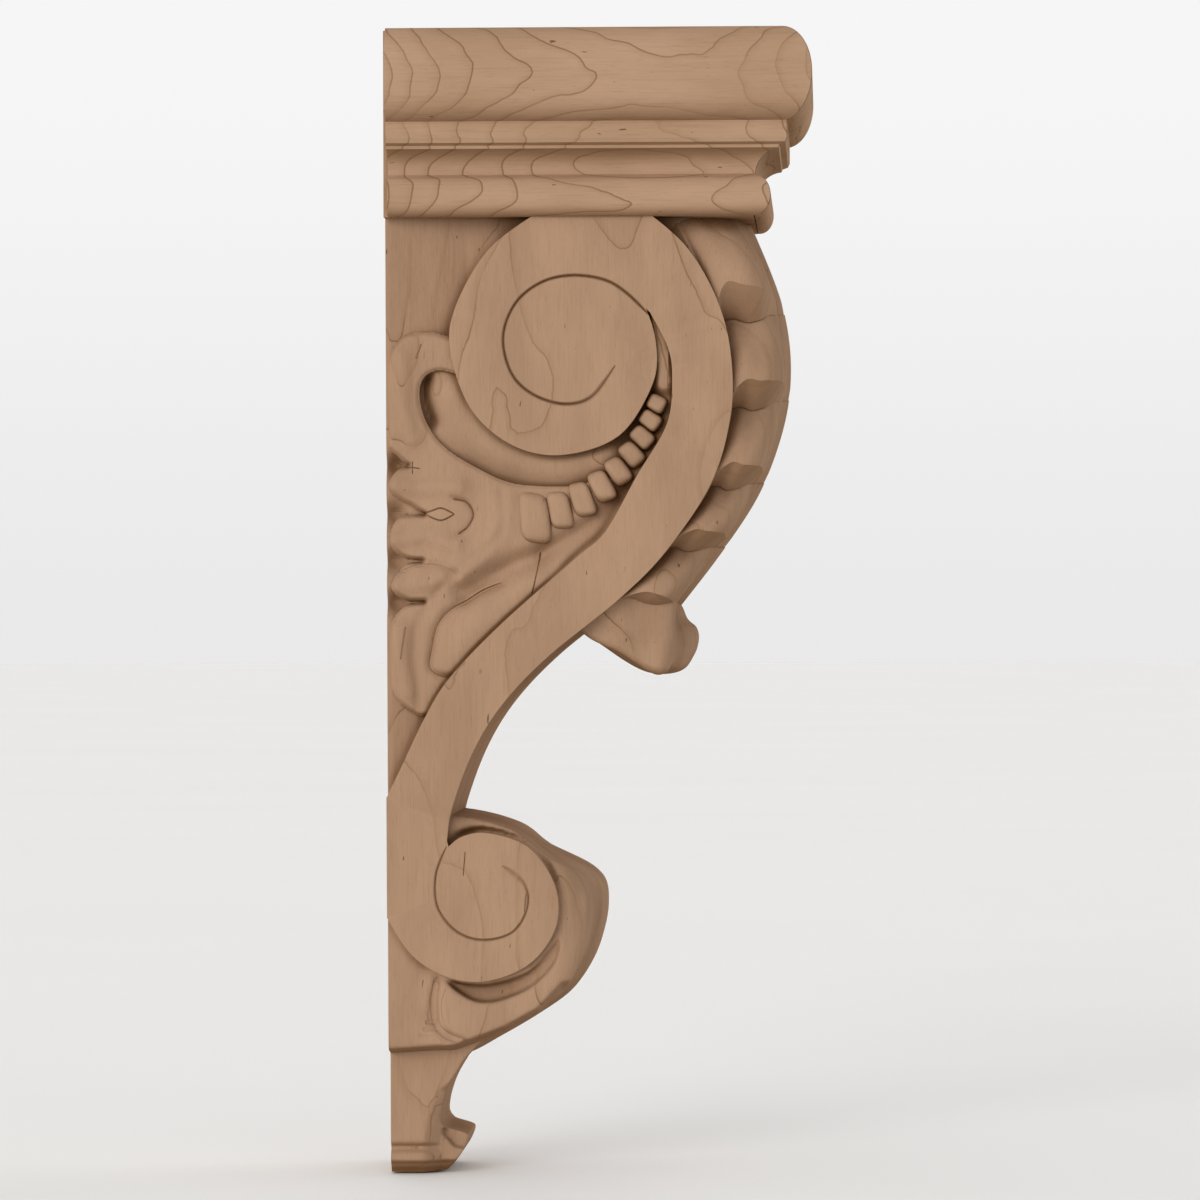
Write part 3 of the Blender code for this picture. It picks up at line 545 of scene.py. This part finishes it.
def bead(side, index):
    """One plump cut block of the row around the large volute."""
    share = index / (BEAD_COUNT - 1)
    last = index == BEAD_COUNT - 1
    turn = BEAD_FIRST_TURN + BEAD_STEP * index
    reach = BEAD_REACH[0] + (BEAD_REACH[1] - BEAD_REACH[0]) * share ** 1.3
    breadth = (reach * math.sin(BEAD_STEP / 2) - BEAD_SPACING / 2) * (BEAD_LAST_SPREAD if last else 1.0)
    length = (BEAD_LENGTH[0] + (BEAD_LENGTH[1] - BEAD_LENGTH[0]) * share) / 2
    length *= BEAD_LAST_STRETCH if last else 1.0
    bm = bmesh.new()
    bmesh.ops.create_cube(bm, size=2.0)
    bmesh.ops.subdivide_edges(bm, edges=bm.edges[:], cuts=9, use_grid_fill=True)
    for vertex in bm.verts:
        plump = sum(abs(part) ** BEAD_SQUARENESS for part in vertex.co) ** (1.0 / BEAD_SQUARENESS)
        rise, along, across = vertex.co / plump * BEAD_FILL
        level = (BEAD_TOP + BEAD_ROOT) / 2 + rise * (BEAD_TOP - BEAD_ROOT) / 2
        along *= length
        across = across * breadth * (1.0 + (1.0 - share) * along / reach) - BEAD_SHEAR * share * along
        lean = BEAD_LEAN * math.sin(5.1 * index + 0.5 * along + 0.4 * across)
        out = VOLUTE_CENTRE[0] + (reach + along) * math.cos(turn) - across * math.sin(turn)
        down = VOLUTE_CENTRE[1] + (reach + along) * math.sin(turn) + across * math.cos(turn)
        vertex.co = drawn(side * (level + lean) * taper(down), out, down)
    return new_item("bead", bm, 60.0)


def beads():
    """Two rows of cut blocks that grow from the throat of the volute down to the leaf."""
    bm = bmesh.new()
    for side in (-1, 1):
        for index in range(BEAD_COUNT):
            block = bead(side, index)
            bm.from_mesh(block.data)
            bpy.data.objects.remove(block, do_unlink=True)
    return new_item("volute_beads", bm, 60.0)


def lobe_swell(share):
    """How far a lobe stands out: 0 at its root, 1 at its arris, and less again under its lip."""
    rise = np.sin(np.pi / 2.0 * np.clip(share / LIP_START, 0.0, 1.0)) ** 1.2
    return rise - LIP_FALL * np.clip((share - LIP_START) / (1.0 - LIP_START), 0.0, 1.0)


def leaf_section():
    """The front leaf's arched section from edge to edge: which side of the rib each point is on, and
    how far it lies to the side and to the front, from 0 to 1."""
    across = np.linspace(-1.0, 1.0, LEAF_COLUMNS)
    turn = np.pi * (across + 1.0) / 2.0
    spread, rise = np.abs(np.cos(turn)), np.sin(turn)
    arch = (spread ** LEAF_ARCH_POWER + rise ** LEAF_ARCH_POWER) ** (1.0 / LEAF_ARCH_POWER)
    return np.sign(across), spread / arch, rise / arch


def leaf_relief(spread, flank, share, under):
    """The rib, the channel beside it, a vein into each lobe, and the fall from arris to root."""
    channel = CHANNEL_DEPTH * np.exp(-((spread - 0.21) / 0.075) ** 2)
    channel += VEIN_DEPTH * math.sin(math.pi * share) * np.exp(-((spread - 0.26 - 0.40 * share) / 0.045) ** 2)
    rib = RIB_HEIGHT * (np.exp(-(spread / 0.08) ** 2) - 1.0)
    crown = LOBE_FALL * (1.0 - lobe_swell(share)) * flank + 0.25 * under * (1.0 - flank)
    return rib - channel - crown


def front_leaf():
    """The front leaf: a smooth crown with a rib, and five pairs of side lobes, each hanging over the
    next."""
    lobes = len(LEAF_FRONT) - 1
    front = curve_through(LEAF_FRONT, 40)
    back = curve_through(LEAF_BACK, 40)
    side, spread, rise = leaf_section()
    flank = ease(spread, 0.24, 0.52)
    lip = 0.04 + 0.28 * np.sqrt(np.clip(1.0 - ((rise - 0.55) / 0.49) ** 2, 0.0, 1.0))
    droop = 0.10 * ease(rise, 0.30, 0.62) - 0.05 * ease(rise, 0.75, 1.0)
    shares = np.concatenate([np.linspace(0.0, LIP_START, LOBE_ROWS - 5), np.linspace(LIP_START, 1.0, 6)[1:]])
    rings = []
    for lobe in range(lobes):
        for share in shares:
            hold = math.sin(math.pi * (lobe + share) / lobes) ** 0.35
            under = max(share - LIP_START, 0.0) / (1.0 - LIP_START)
            drop = min(share / LIP_START, 1.0) * (1.0 - lip) + under * lip
            place = np.clip(lobe + drop + droop * hold, 0.0, lobes) * 40
            start = np.stack([np.interp(place, range(len(front)), line) for line in front.T], -1)
            root = np.stack([np.interp(place, range(len(back)), line) for line in back.T], -1)
            half = LEAF_SIDE_HALF * (1.0 - LOBE_NARROWING * (1.0 - lobe_swell(share)) * flank)
            forward = rise + leaf_relief(spread, flank, share, under) / np.hypot(*(start - root).T)
            spot = root + (start - root) * forward[:, None]
            ring = drawn(-side * spread * half * taper(spot[:, 1]), spot[:, 0], spot[:, 1])
            inner = ring[[-1, 0]] * (0.8, 1.0, 1.0) + (0.0, 14.0 * MM, 0.0)
            rings.append(np.vstack([ring, inner]))
    return skin("front_leaf", np.array(rings), 28.0)


def leaf_end(name, middle, side, half, rounding, flute, sections=72, steps=7):
    """A leaf's curled end: section after section across the width, fullest in the middle, with two
    pairs of flutes and rounded sides."""
    middle = closed_curve(middle, steps)
    side = closed_curve(side, steps)
    rings = []
    for share in -np.cos(np.linspace(0.0, np.pi, sections)):
        outline = middle + (side - middle) * ease(abs(share), 0.42, 0.80)
        centre = outline.mean(0)
        arm = outline - centre
        past = max(abs(share) * half - (half - rounding), 0.0) / rounding
        inset = rounding * (1.0 - math.sqrt(max(1.0 - past ** 2, 0.0)))
        forward = np.maximum(arm[:, 0], 0.0) / arm[:, 0].max()
        hollow = math.exp(-((abs(share) - 0.58) / 0.10) ** 2)
        hollow += 0.5 * math.exp(-((abs(share) - 0.20) / 0.07) ** 2)
        inset = inset + flute * hollow * forward
        spot = centre + arm * (1.0 - inset / np.hypot(*arm.T))[:, None]
        rings.append(drawn(share * half * taper(spot[:, 1]), spot[:, 0], spot[:, 1]))
    return skin(name, np.array(rings))


def tip_height(spots):
    """Side faces of the curled tip: plain, eased at the rim, with one soft hollow."""
    out, down = spots.T
    edge = distance_to(spots, closed_curve(TIP_SIDE, 6))
    hollow = swale(spots, TIP_HOLLOW, 0.8, 3.0)
    fall = 6.5 * ease(out, 60.0, 82.0) + 4.0 * ease(down, 162.0, 188.0)
    return TIP_HALF - rubbed(edge, 1.6, 2.4) - hollow - fall + 0.3 * waver(spots, 5.0, 1.3)


def front_leaf_tip():
    """The front leaf's end, rolled under."""
    sides = relief("tip_sides", closed_curve(TIP_SIDE, 6), tip_height, spacing=0.6)
    curl = leaf_end("tip_curl", TIP_MIDDLE, TIP_SIDE, TIP_HALF - 7.5, rounding=4.0, flute=2.4)
    return fused("front_leaf_tip", [sides, curl], cube=0.55, rounds=2)


def cup_height(spots):
    """Side faces of the lower leaf: a groove round the disc, a crescent hollow, a flare and a lip."""
    out, down = spots.T
    edge = distance_to(spots, closed_curve(LOWER_LEAF_SIDE, 6))
    disc = distance_to(spots, curve_through(SMALL_VOLUTE_EDGE, 6))
    crescent = depth_within(spots, closed_curve(CRESCENT, 5))
    lip = down - np.interp(out, *np.array(CUP_LIP).T)
    above = ease(down, 253.0, 235.0) * ease(out, 14.0, 24.0)
    stand = np.full(len(spots), LOWER_LEAF_HALF)
    stand -= 3.6 * (1.0 - np.sqrt(1.0 - np.clip(1.0 - edge / 4.0, 0.0, 1.0) ** 2))
    stand -= CUP_SHOULDER * above
    stand -= (0.8 + 3.4 * above) * np.exp(-(disc / 1.5) ** 2)
    shallower = 1.0 - 0.5 * ease(out, 30.0, 47.0)
    stand -= (5.4 * ease(crescent, -0.2, 1.0) + 0.8 * ease(crescent, 1.0, 3.5)) * shallower
    stand -= CUP_FALL * ease(out, 45.5, 60.0) * ease(down, 286.0, 262.0)
    for line, depth, width in CUP_RELIEF:
        stand -= swale(spots, line, depth, width)
    stand -= CUP_LIP_DEPTH * ease(lip, -0.4, 2.4)
    return stand + UNEVENNESS * waver(spots, 5.0, 4.9)


def lower_leaf():
    """The leaf that cups the small volute."""
    sides = relief("cup_sides", closed_curve(LOWER_LEAF_SIDE, 6), cup_height, spacing=0.5)
    curl = leaf_end("cup_curl", LOWER_LEAF_MIDDLE, LOWER_LEAF_SIDE, LOWER_LEAF_HALF - 12.0,
                    rounding=6.0, flute=1.6)
    body = sawn(fused("lower_leaf", [sides, curl], cube=0.6, rounds=2), LOWER_LEAF_SHORT)
    return carve(body, gouge_cuts(CUP_CUTS, cup_height), sharp=60.0)


def tail_height(spots):
    """Side faces of the tail: plain, then a rolled lip at the foot and a scoop behind its point."""
    out, down = spots.T
    crease = np.interp(down, *np.array(TAIL_CREASE).T[::-1])
    stand = np.full(len(spots), TAIL_HALF)
    stand -= 5.0 * ease(out - crease, -0.6, 5.6)
    stand -= 2.4 * np.exp(-((down - 322.8) / 1.2) ** 2) * ease(out, 15.0, 10.0)
    stand -= 5.0 * ease(down, 325.8, 330.8) + 0.6 * np.exp(-((down - 327.4) / 0.6) ** 2)
    scoop = depth_within(spots, closed_curve(TAIL_SCOOP, 4))
    return stand - 3.8 * ease(scoop, -0.1, 0.8) + 0.2 * waver(spots, 5.0, 8.8)


def tail():
    """The foot of the bracket, with its lip turned up."""
    sides = relief("tail_sides", closed_curve(TAIL_MIDDLE, 6), tail_height, spacing=0.45)
    curl = leaf_end("tail_curl", TAIL_MIDDLE, TAIL_SIDE, TAIL_HALF - 9.5, rounding=2.5, flute=0.8)
    return sawn(fused("tail", [sides, curl], cube=0.45, rounds=1))


def arc(centre, radii, start, end, steps):
    """Points on part of an ellipse, from one angle in degrees to another."""
    turns = np.radians(np.linspace(start, end, steps + 1))
    return [(centre[0] + radii[0] * math.cos(turn), centre[1] + radii[1] * math.sin(turn)) for turn in turns]


def cap_profile():
    """Roll, fillet, cove and bead, as (projection, down)."""
    profile = [(CAP_EDGE, 0.0)]
    profile += arc((7.9, 13.6), (9.0, 13.6), -90, 78, 40)
    profile += [(9.6, 27.3), (9.75, 27.6), (9.75, 31.8), (9.2, 33.0), (7.6, 33.7)]
    profile += arc((9.0, 41.6), (8.4, 7.2), -102, -180, 14)
    profile += arc((0.5, 47.8), (4.4, 5.7), -76, 84, 24)
    return np.array(profile + [(CAP_EDGE, 53.5)])


def cap_moulding(direction):
    """One length of cap moulding, mitred at the front corners with a hair's gap."""
    projection, down = cap_profile().T
    rings = []
    for share in np.linspace(0.0, 1.0, 25):
        if direction == "front":
            x = (HEAD_HALF + projection - MITRE_GAP) * (2.0 * share - 1.0)
            out = HEAD_OUT + projection
        else:
            x = (HEAD_HALF + projection) * (-1 if direction == "left" else 1)
            out = CAP_BACK + (HEAD_OUT + projection - MITRE_GAP - CAP_BACK) * share
        rings.append(drawn(x, out - CAP_BACK, down))
    return skin("cap_run_" + direction, np.array(rings), 30.0)


def linear(code):
    """A colour written as sRGB hex, turned to linear light."""
    channels = [int(code[place:place + 2], 16) / 255 for place in (1, 3, 5)]
    return [c / 12.92 if c <= 0.04045 else ((c + 0.055) / 1.055) ** 2.4 for c in channels] + [1.0]


def add_node(tree, kind, settings, inputs, output=0):
    """Adds a node with its settings. An input is a value, or another node's output to join to it."""
    node = tree.nodes.new(kind)
    for key, value in settings.items():
        setattr(node, key, value)
    for key, value in inputs.items():
        if isinstance(value, bpy.types.NodeSocket):
            tree.links.new(value, node.inputs[key])
        else:
            node.inputs[key].default_value = value
    return node.outputs[output]


# Settings that many nodes share
TIMES = {"operation": "MULTIPLY"}
TIMES_PLUS = {"operation": "MULTIPLY_ADD"}
SMOOTH = {"interpolation_type": "SMOOTHSTEP"}

# How far apart the growth layers are read to find their slope, the least slope, how wide a line they
# draw and its soft dark side
PROBE = 0.3 * MM
LEAST_SLOPE = 0.004
LINE_WIDTH = 0.40 * MM
DARK_SIDE_WIDTH = 2.4 * MM

# How strong a line is where layers lie open and where they crowd, and how strong its dark side is
OPEN_LINE = 0.74
CROWDED_LINE = 0.08
DARK_SIDE = 0.20

# Layers that rise out of the face bow, and are back where they started this far from the wall
BOW = 0.150

# Bends of the growth layers: (size across the grain, along it, how many layers it moves, detail)
BLOCK_WAVES = [(38.0, 110.0, 6.0, 1.0), (13.0, 30.0, 0.6, 1.0), (2.6, 3.6, 0.04, 1.0)]
CAP_WAVES = [(38.0, 110.0, 4.5, 1.0), (11.0, 20.0, 1.0, 1.0), (2.6, 3.6, 0.07, 1.0)]

# How many layers may meet the surface in each millimetre before their lines fade
BLOCK_CROWDING = 0.053
CAP_CROWDING = 0.20

# Patterns in the wood: (name, size across the grain, along it, detail, roughness). The fibre and the
# pores are drawn several times as coarse as in real alder, so that they show at arm's length.
WOOD_CLOUDS = [("mottle", 16.0, 42.0, 3.0, 0.5), ("fibre", 0.55, 15.0, 3.0, 0.6),
               ("pore", 0.32, 3.6, 1.0, 0.5), ("fleck", 1.4, 5.0, 1.0, 0.5),
               ("fading", 30.0, 60.0, 2.0, 0.5), ("tool", 3.5, 7.0, 2.0, 0.5)]

# Bare alder: the face and its darker mottle on the block, then on the cap painted a little lighter as
# light that it catches, then the fibre, the growth lines, the flecks, and a brown painted as shade in
# recesses and on undersides
ALDER_BLOCK = ("#A7876D", "#9D7E65")
# Painted light: the cap's tones are a little lighter than the block's, for the light its rounded mouldings
# catch
ALDER_CAP_PAINTED_LIGHTER = ("#AE8E74", "#A4856A")
ALDER_FIBRE = "#86674A"
ALDER_LINE = "#6E4F33"
ALDER_FLECK = "#543824"
# Painted shade: the brown mixed in where the occlusion node finds recesses, and on undersides
ALDER_PAINTED_SHADE = "#6A4827"


def grain_noise(tree, spot, along, across, with_grain, shift, detail, roughness=0.5):
    """Noise drawn out along the grain, by its real size across and along it in millimetres."""
    scale = [1.0 / (across * MM)] * 3
    scale[along] = 1.0 / (with_grain * MM)
    moved = add_node(tree, "ShaderNodeMapping", {}, {"Vector": spot, "Location": shift, "Scale": scale})
    return add_node(tree, "ShaderNodeTexNoise", {},
                    {"Vector": moved, "Scale": 1.0, "Detail": detail, "Roughness": roughness})


def layer_at(tree, spot, along, facing, spacing, sweep, waves, seed):
    """Which growth layer a spot lies in, counted from layer to layer."""
    axes = add_node(tree, "ShaderNodeSeparateXYZ", {}, {0: spot}).node.outputs
    layer = add_node(tree, "ShaderNodeMath", TIMES_PLUS, {0: axes[facing], 1: 1.0 / (spacing * MM), 2: seed})
    if sweep:
        bend = add_node(tree, "ShaderNodeMath", TIMES_PLUS, {0: axes[1], 1: 1.0 / BOW, 2: 1.0})
        rising = add_node(tree, "ShaderNodeMath", TIMES, {0: axes[1], 1: bend})
        layer = add_node(tree, "ShaderNodeMath", TIMES_PLUS, {0: rising, 1: sweep, 2: layer})
    for across, with_grain, strength, detail in waves:
        wave = grain_noise(tree, spot, along, across, with_grain, (seed, seed, across), detail)
        layer = add_node(tree, "ShaderNodeMath", TIMES_PLUS, {0: wave, 1: strength, 2: layer})
    return layer


def growth_lines(tree, layers, normal, crowding):
    """Growth lines as wide everywhere, whatever angle the layers meet the surface at, how strong they
    are, which is little where layers crowd, and the soft dark side of each. The layers are read at a
    point and just beside it along each axis."""
    slopes = [add_node(tree, "ShaderNodeMath", {"operation": "SUBTRACT"}, {0: beside, 1: layers[0]})
              for beside in layers[1:]]
    slope = add_node(tree, "ShaderNodeCombineXYZ", {}, dict(enumerate(slopes)))
    sunk = add_node(tree, "ShaderNodeVectorMath", {"operation": "PROJECT"}, {0: slope, 1: normal})
    skimming = add_node(tree, "ShaderNodeVectorMath", {"operation": "SUBTRACT"}, {0: slope, 1: sunk})
    steepness = add_node(tree, "ShaderNodeVectorMath", {"operation": "LENGTH"}, {0: skimming}, "Value")
    steepness = add_node(tree, "ShaderNodeMath", {"operation": "MAXIMUM"}, {0: steepness, 1: LEAST_SLOPE})
    part = add_node(tree, "ShaderNodeMath", {"operation": "FRACT"}, {0: layers[0]})
    part = add_node(tree, "ShaderNodeMath", {"operation": "SUBTRACT"}, {0: part, 1: 0.5})
    beyond = add_node(tree, "ShaderNodeMath", {"operation": "DIVIDE"}, {0: part, 1: steepness})
    beyond = add_node(tree, "ShaderNodeMath", TIMES, {0: beyond, 1: PROBE})
    gap = add_node(tree, "ShaderNodeMath", {"operation": "ABSOLUTE"}, {0: beyond})
    line = add_node(tree, "ShaderNodeMapRange", SMOOTH,
                    {"Value": gap, "From Min": LINE_WIDTH, "From Max": 0.0})
    open_grain = add_node(tree, "ShaderNodeMapRange", {},
                          {"Value": steepness, "From Min": crowding * 0.3, "From Max": crowding * 0.6,
                           "To Min": OPEN_LINE, "To Max": CROWDED_LINE})
    dark_side = add_node(tree, "ShaderNodeMapRange", SMOOTH,
                         {"Value": beyond, "From Min": -DARK_SIDE_WIDTH, "From Max": 0.0})
    before = add_node(tree, "ShaderNodeMath", {"operation": "LESS_THAN"}, {0: part, 1: 0.0})
    return line, open_grain, add_node(tree, "ShaderNodeMath", TIMES, {0: dark_side, 1: before})


def bare_alder(name, along, facing, spacing, sweep, waves, crowding, tones, seed):
    """Bare alder, sanded but unsealed: soft tan and dull, with fine fibre along one axis, thin brown
    growth lines that wander into arches and loops on flat-sawn faces, a few short dark flecks, and
    a brown painted as shade in recesses that the occlusion node finds and on undersides. Layers stack
    along facing, this many millimetres apart, and sweep is how many lie in each metre towards the
    front, where they rise out of the face."""
    material = bpy.data.materials.new(name)
    material.use_nodes = True
    tree = material.node_tree
    shader = tree.nodes["Principled BSDF"]
    place = add_node(tree, "ShaderNodeTexCoord", {}, {}, "Object")
    normal = add_node(tree, "ShaderNodeNewGeometry", {}, {}, "True Normal")

    layers = []
    for nudge in ((0, 0, 0), (PROBE, 0, 0), (0, PROBE, 0), (0, 0, PROBE)):
        spot = add_node(tree, "ShaderNodeVectorMath", {"operation": "ADD"}, {0: place, 1: nudge})
        layers.append(layer_at(tree, spot, along, facing, spacing, sweep, waves, seed))
    line, open_grain, dark_side = growth_lines(tree, layers, normal, crowding)
    clouds = {}
    for pattern, across, with_grain, detail, roughness in WOOD_CLOUDS:
        clouds[pattern] = grain_noise(tree, place, along, across, with_grain,
                                      (seed + across, seed, with_grain), detail, roughness)
    shade = add_node(tree, "ShaderNodeAmbientOcclusion", {"samples": 8}, {"Distance": 8.0 * MM}, "AO")
    upward = add_node(tree, "ShaderNodeSeparateXYZ", {}, {0: normal}, 2)

    # How much of each coat shows: (name, what it follows, from and to there, amount at either end)
    amounts = {}
    for coat, value, low, high, least, most in (
            ("mottle", clouds["mottle"], 0.32, 0.68, 0.0, 1.0),
            ("fibre", clouds["fibre"], 0.46, 0.78, 0.0, 0.26),
            ("pore", clouds["pore"], 0.66, 0.74, 0.0, 0.18),
            ("fleck", clouds["fleck"], 0.770, 0.800, 0.0, 0.75),
            ("fading", clouds["fading"], 0.36, 0.62, 0.30, 1.0),
            # Painted shade: darker brown wherever the occlusion node finds a recess or crease
            ("painted_recess_shade", shade, 0.12, 0.68, 0.85, 0.0),
            # Painted shade: surfaces that face down are mixed towards the darker brown
            ("underside", upward, -0.95, -0.25, 0.5, 0.0)):
        amounts[coat] = add_node(tree, "ShaderNodeMapRange", SMOOTH, {
            "Value": value, "From Min": low, "From Max": high, "To Min": least, "To Max": most})
    line = add_node(tree, "ShaderNodeMath", TIMES, {0: line, 1: amounts["fading"]})
    line = add_node(tree, "ShaderNodeMath", TIMES, {0: line, 1: open_grain})
    dark_side = add_node(tree, "ShaderNodeMath", TIMES, {0: dark_side, 1: DARK_SIDE})
    tone = linear(tones[0])
    for colour, amount in ((tones[1], amounts["mottle"]), (ALDER_FIBRE, amounts["fibre"]),
                           (ALDER_FIBRE, dark_side), (ALDER_LINE, line), (ALDER_LINE, amounts["pore"]),
                           (ALDER_FLECK, amounts["fleck"]), (ALDER_PAINTED_SHADE, amounts["painted_recess_shade"]),
                           (ALDER_PAINTED_SHADE, amounts["underside"])):
        tone = add_node(tree, "ShaderNodeMix", {"data_type": "RGBA"},
                        {0: amount, 6: tone, 7: linear(colour)}, 2)
    tree.links.new(tone, shader.inputs["Base Color"])

    shader.inputs["Metallic"].default_value = 0.0
    shader.inputs["IOR"].default_value = 1.5
    shader.inputs["Specular IOR Level"].default_value = 0.0
    dull = add_node(tree, "ShaderNodeMapRange", {}, {"Value": clouds["fibre"], "From Min": 0.3,
                                                     "From Max": 0.7, "To Min": 0.60, "To Max": 0.75})
    tree.links.new(dull, shader.inputs["Roughness"])
    raised = add_node(tree, "ShaderNodeBump", {}, {"Strength": 0.30, "Distance": 0.10 * MM,
                                                   "Height": clouds["fibre"]})
    tooled = add_node(tree, "ShaderNodeBump", {}, {"Strength": 0.55, "Distance": 0.6 * MM,
                                                   "Height": clouds["tool"], "Normal": raised})
    tree.links.new(tooled, shader.inputs["Normal"])
    return material


def matt_paint(name, code, shade, roughness):
    """Matt studio paint, rolled on, so its tone is a little uneven."""
    material = bpy.data.materials.new(name)
    material.use_nodes = True
    tree = material.node_tree
    shader = tree.nodes["Principled BSDF"]
    place = add_node(tree, "ShaderNodeTexCoord", {}, {}, "Object")
    patches = add_node(tree, "ShaderNodeTexNoise", {}, {"Vector": place, "Scale": 3.0})
    tone = add_node(tree, "ShaderNodeMix", {"data_type": "RGBA"},
                    {0: patches, 6: linear(code), 7: linear(shade)}, 2)
    tree.links.new(tone, shader.inputs["Base Color"])
    shader.inputs["Roughness"].default_value = roughness
    shader.inputs["Specular IOR Level"].default_value = 0.1
    return material


# How far the floor lies under the foot, in metres
FLOOR_GAP = 0.0005

# Lights: (name, where it stands from the bracket, strength, breadth in degrees)
STUDIO_LIGHTS = [("key_softbox", (-0.88, 0.38, 0.20), 1.74, 34.0),
                 ("front_fill", (0.50, -0.84, 0.18), 1.0, 50.0),
                 ("far_side_fill", (0.92, -0.02, 0.32), 0.90, 60.0)]

# The studio's white walls, dimmer ahead, above and down at the floor: (axis, from, to, light at
# either end)
STUDIO_WALLS = [(1, -0.95, -0.05, 0.35, 1.0), (2, 0.15, 0.95, 0.92, 0.55), (2, -0.012, 0.09, 0.89, 1.0)]


def studio_floor():
    """A pale floor, just under the bracket's foot."""
    bm = bmesh.new()
    bmesh.ops.create_grid(bm, x_segments=1, y_segments=1, size=15.0)
    for vertex in bm.verts:
        vertex.co.z = cad_low.z - FLOOR_GAP
    floor = new_item("studio_floor", bm)
    floor.data.materials.append(matt_paint("matt_white_floor", "#F3F2F0", "#F7F6F4", roughness=0.9))


def studio_light():
    """White walls, a wide soft light by the camera and weaker ones across from it."""
    world = bpy.data.worlds.new("pale_studio")
    bpy.context.scene.world = world
    bpy.context.scene.view_settings.view_transform = "Standard"
    world.use_nodes = True
    tree = world.node_tree
    place = add_node(tree, "ShaderNodeTexCoord", {}, {}, "Object")
    axes = add_node(tree, "ShaderNodeSeparateXYZ", {}, {0: place}).node.outputs
    walls = [add_node(tree, "ShaderNodeMapRange", SMOOTH, {
        "Value": axes[axis], "From Min": low, "From Max": high, "To Min": least, "To Max": most})
        for axis, low, high, least, most in STUDIO_WALLS]
    even = walls[0]
    for wall in walls[1:]:
        even = add_node(tree, "ShaderNodeMath", TIMES, {0: even, 1: wall})
    tree.nodes["Background"].inputs["Color"].default_value = (1.0, 1.0, 1.0, 1.0)
    tree.links.new(even, tree.nodes["Background"].inputs["Strength"])

    for name, heading, power, breadth in STUDIO_LIGHTS:
        lamp = bpy.data.lights.new(name, "SUN")
        lamp.energy = power
        lamp.angle = math.radians(breadth)
        item = bpy.data.objects.new(name, lamp)
        item.location = Vector(heading) * 2.0
        item.rotation_euler = Vector(heading).to_track_quat("Z", "Y").to_euler()
        bpy.context.scene.collection.objects.link(item)


# The photograph's view: square to the side, from 1.8 m off the cap's near edge, a touch rolled
VIEW_DISTANCE = 1.8
VIEW_OUT = 0.1279
VIEW_DOWN = 0.1637
VIEW_TURN = math.atan(230.0 / 6337.5)
VIEW_ROLL = math.radians(0.15)
VIEW_LENS = 190.1


def camera():
    """The camera that sees the bracket as the photograph does."""
    data = bpy.data.cameras.new("side_camera")
    data.sensor_width = 36.0
    data.lens = VIEW_LENS
    data.clip_end = 60.0
    item = bpy.data.objects.new("side_camera", data)
    item.location = (-(CAP_HALF + VIEW_DISTANCE), -VIEW_OUT, TOP - VIEW_DOWN)
    heading = Vector((math.cos(VIEW_TURN), math.sin(VIEW_TURN), 0.0))
    turned = heading.to_track_quat("-Z", "Y").to_matrix().to_4x4() @ Matrix.Rotation(-VIEW_ROLL, 4, "Z")
    item.rotation_euler = turned.to_euler()
    bpy.context.scene.collection.objects.link(item)
    bpy.context.scene.camera = item


# The woods: upright in the block, along each length of the cap, and between two growth lines where
# a piece is small
upright = bare_alder("bare_alder_grain_upright", along=2, facing=0, spacing=7.0, sweep=0.0,
                     waves=BLOCK_WAVES, crowding=BLOCK_CROWDING, tones=ALDER_BLOCK, seed=3.7)
plain_upright = bare_alder("bare_alder_between_lines", along=2, facing=0, spacing=60.0, sweep=0.0,
                           waves=[], crowding=BLOCK_CROWDING, tones=ALDER_BLOCK, seed=3.0)
side_run = bare_alder("bare_alder_grain_along_side", along=1, facing=0, spacing=5.5, sweep=-170.0,
                      waves=CAP_WAVES, crowding=CAP_CROWDING, tones=ALDER_CAP_PAINTED_LIGHTER, seed=11.2)
front_run = bare_alder("bare_alder_grain_along_front", along=0, facing=1, spacing=5.5, sweep=0.0,
                       waves=CAP_WAVES, crowding=CAP_CROWDING, tones=ALDER_CAP_PAINTED_LIGHTER, seed=17.9)

camera()
studio_floor()
studio_light()

for piece in (head_block(), panel_ground(), scrolls(), side_leaves(), beads(), front_leaf(), front_leaf_tip(),
              lower_leaf(), tail()):
    piece.data.materials.clear()
    piece.data.materials.append(plain_upright if piece.name == "volute_beads" else upright)
    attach(piece, "root")
    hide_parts("carved_bracket")

for direction, wood in (("left", side_run), ("front", front_run), ("right", side_run)):
    piece = cap_moulding(direction)
    piece.data.materials.append(wood)
    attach(piece, "root")
    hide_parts("cap_moulding_" + direction)
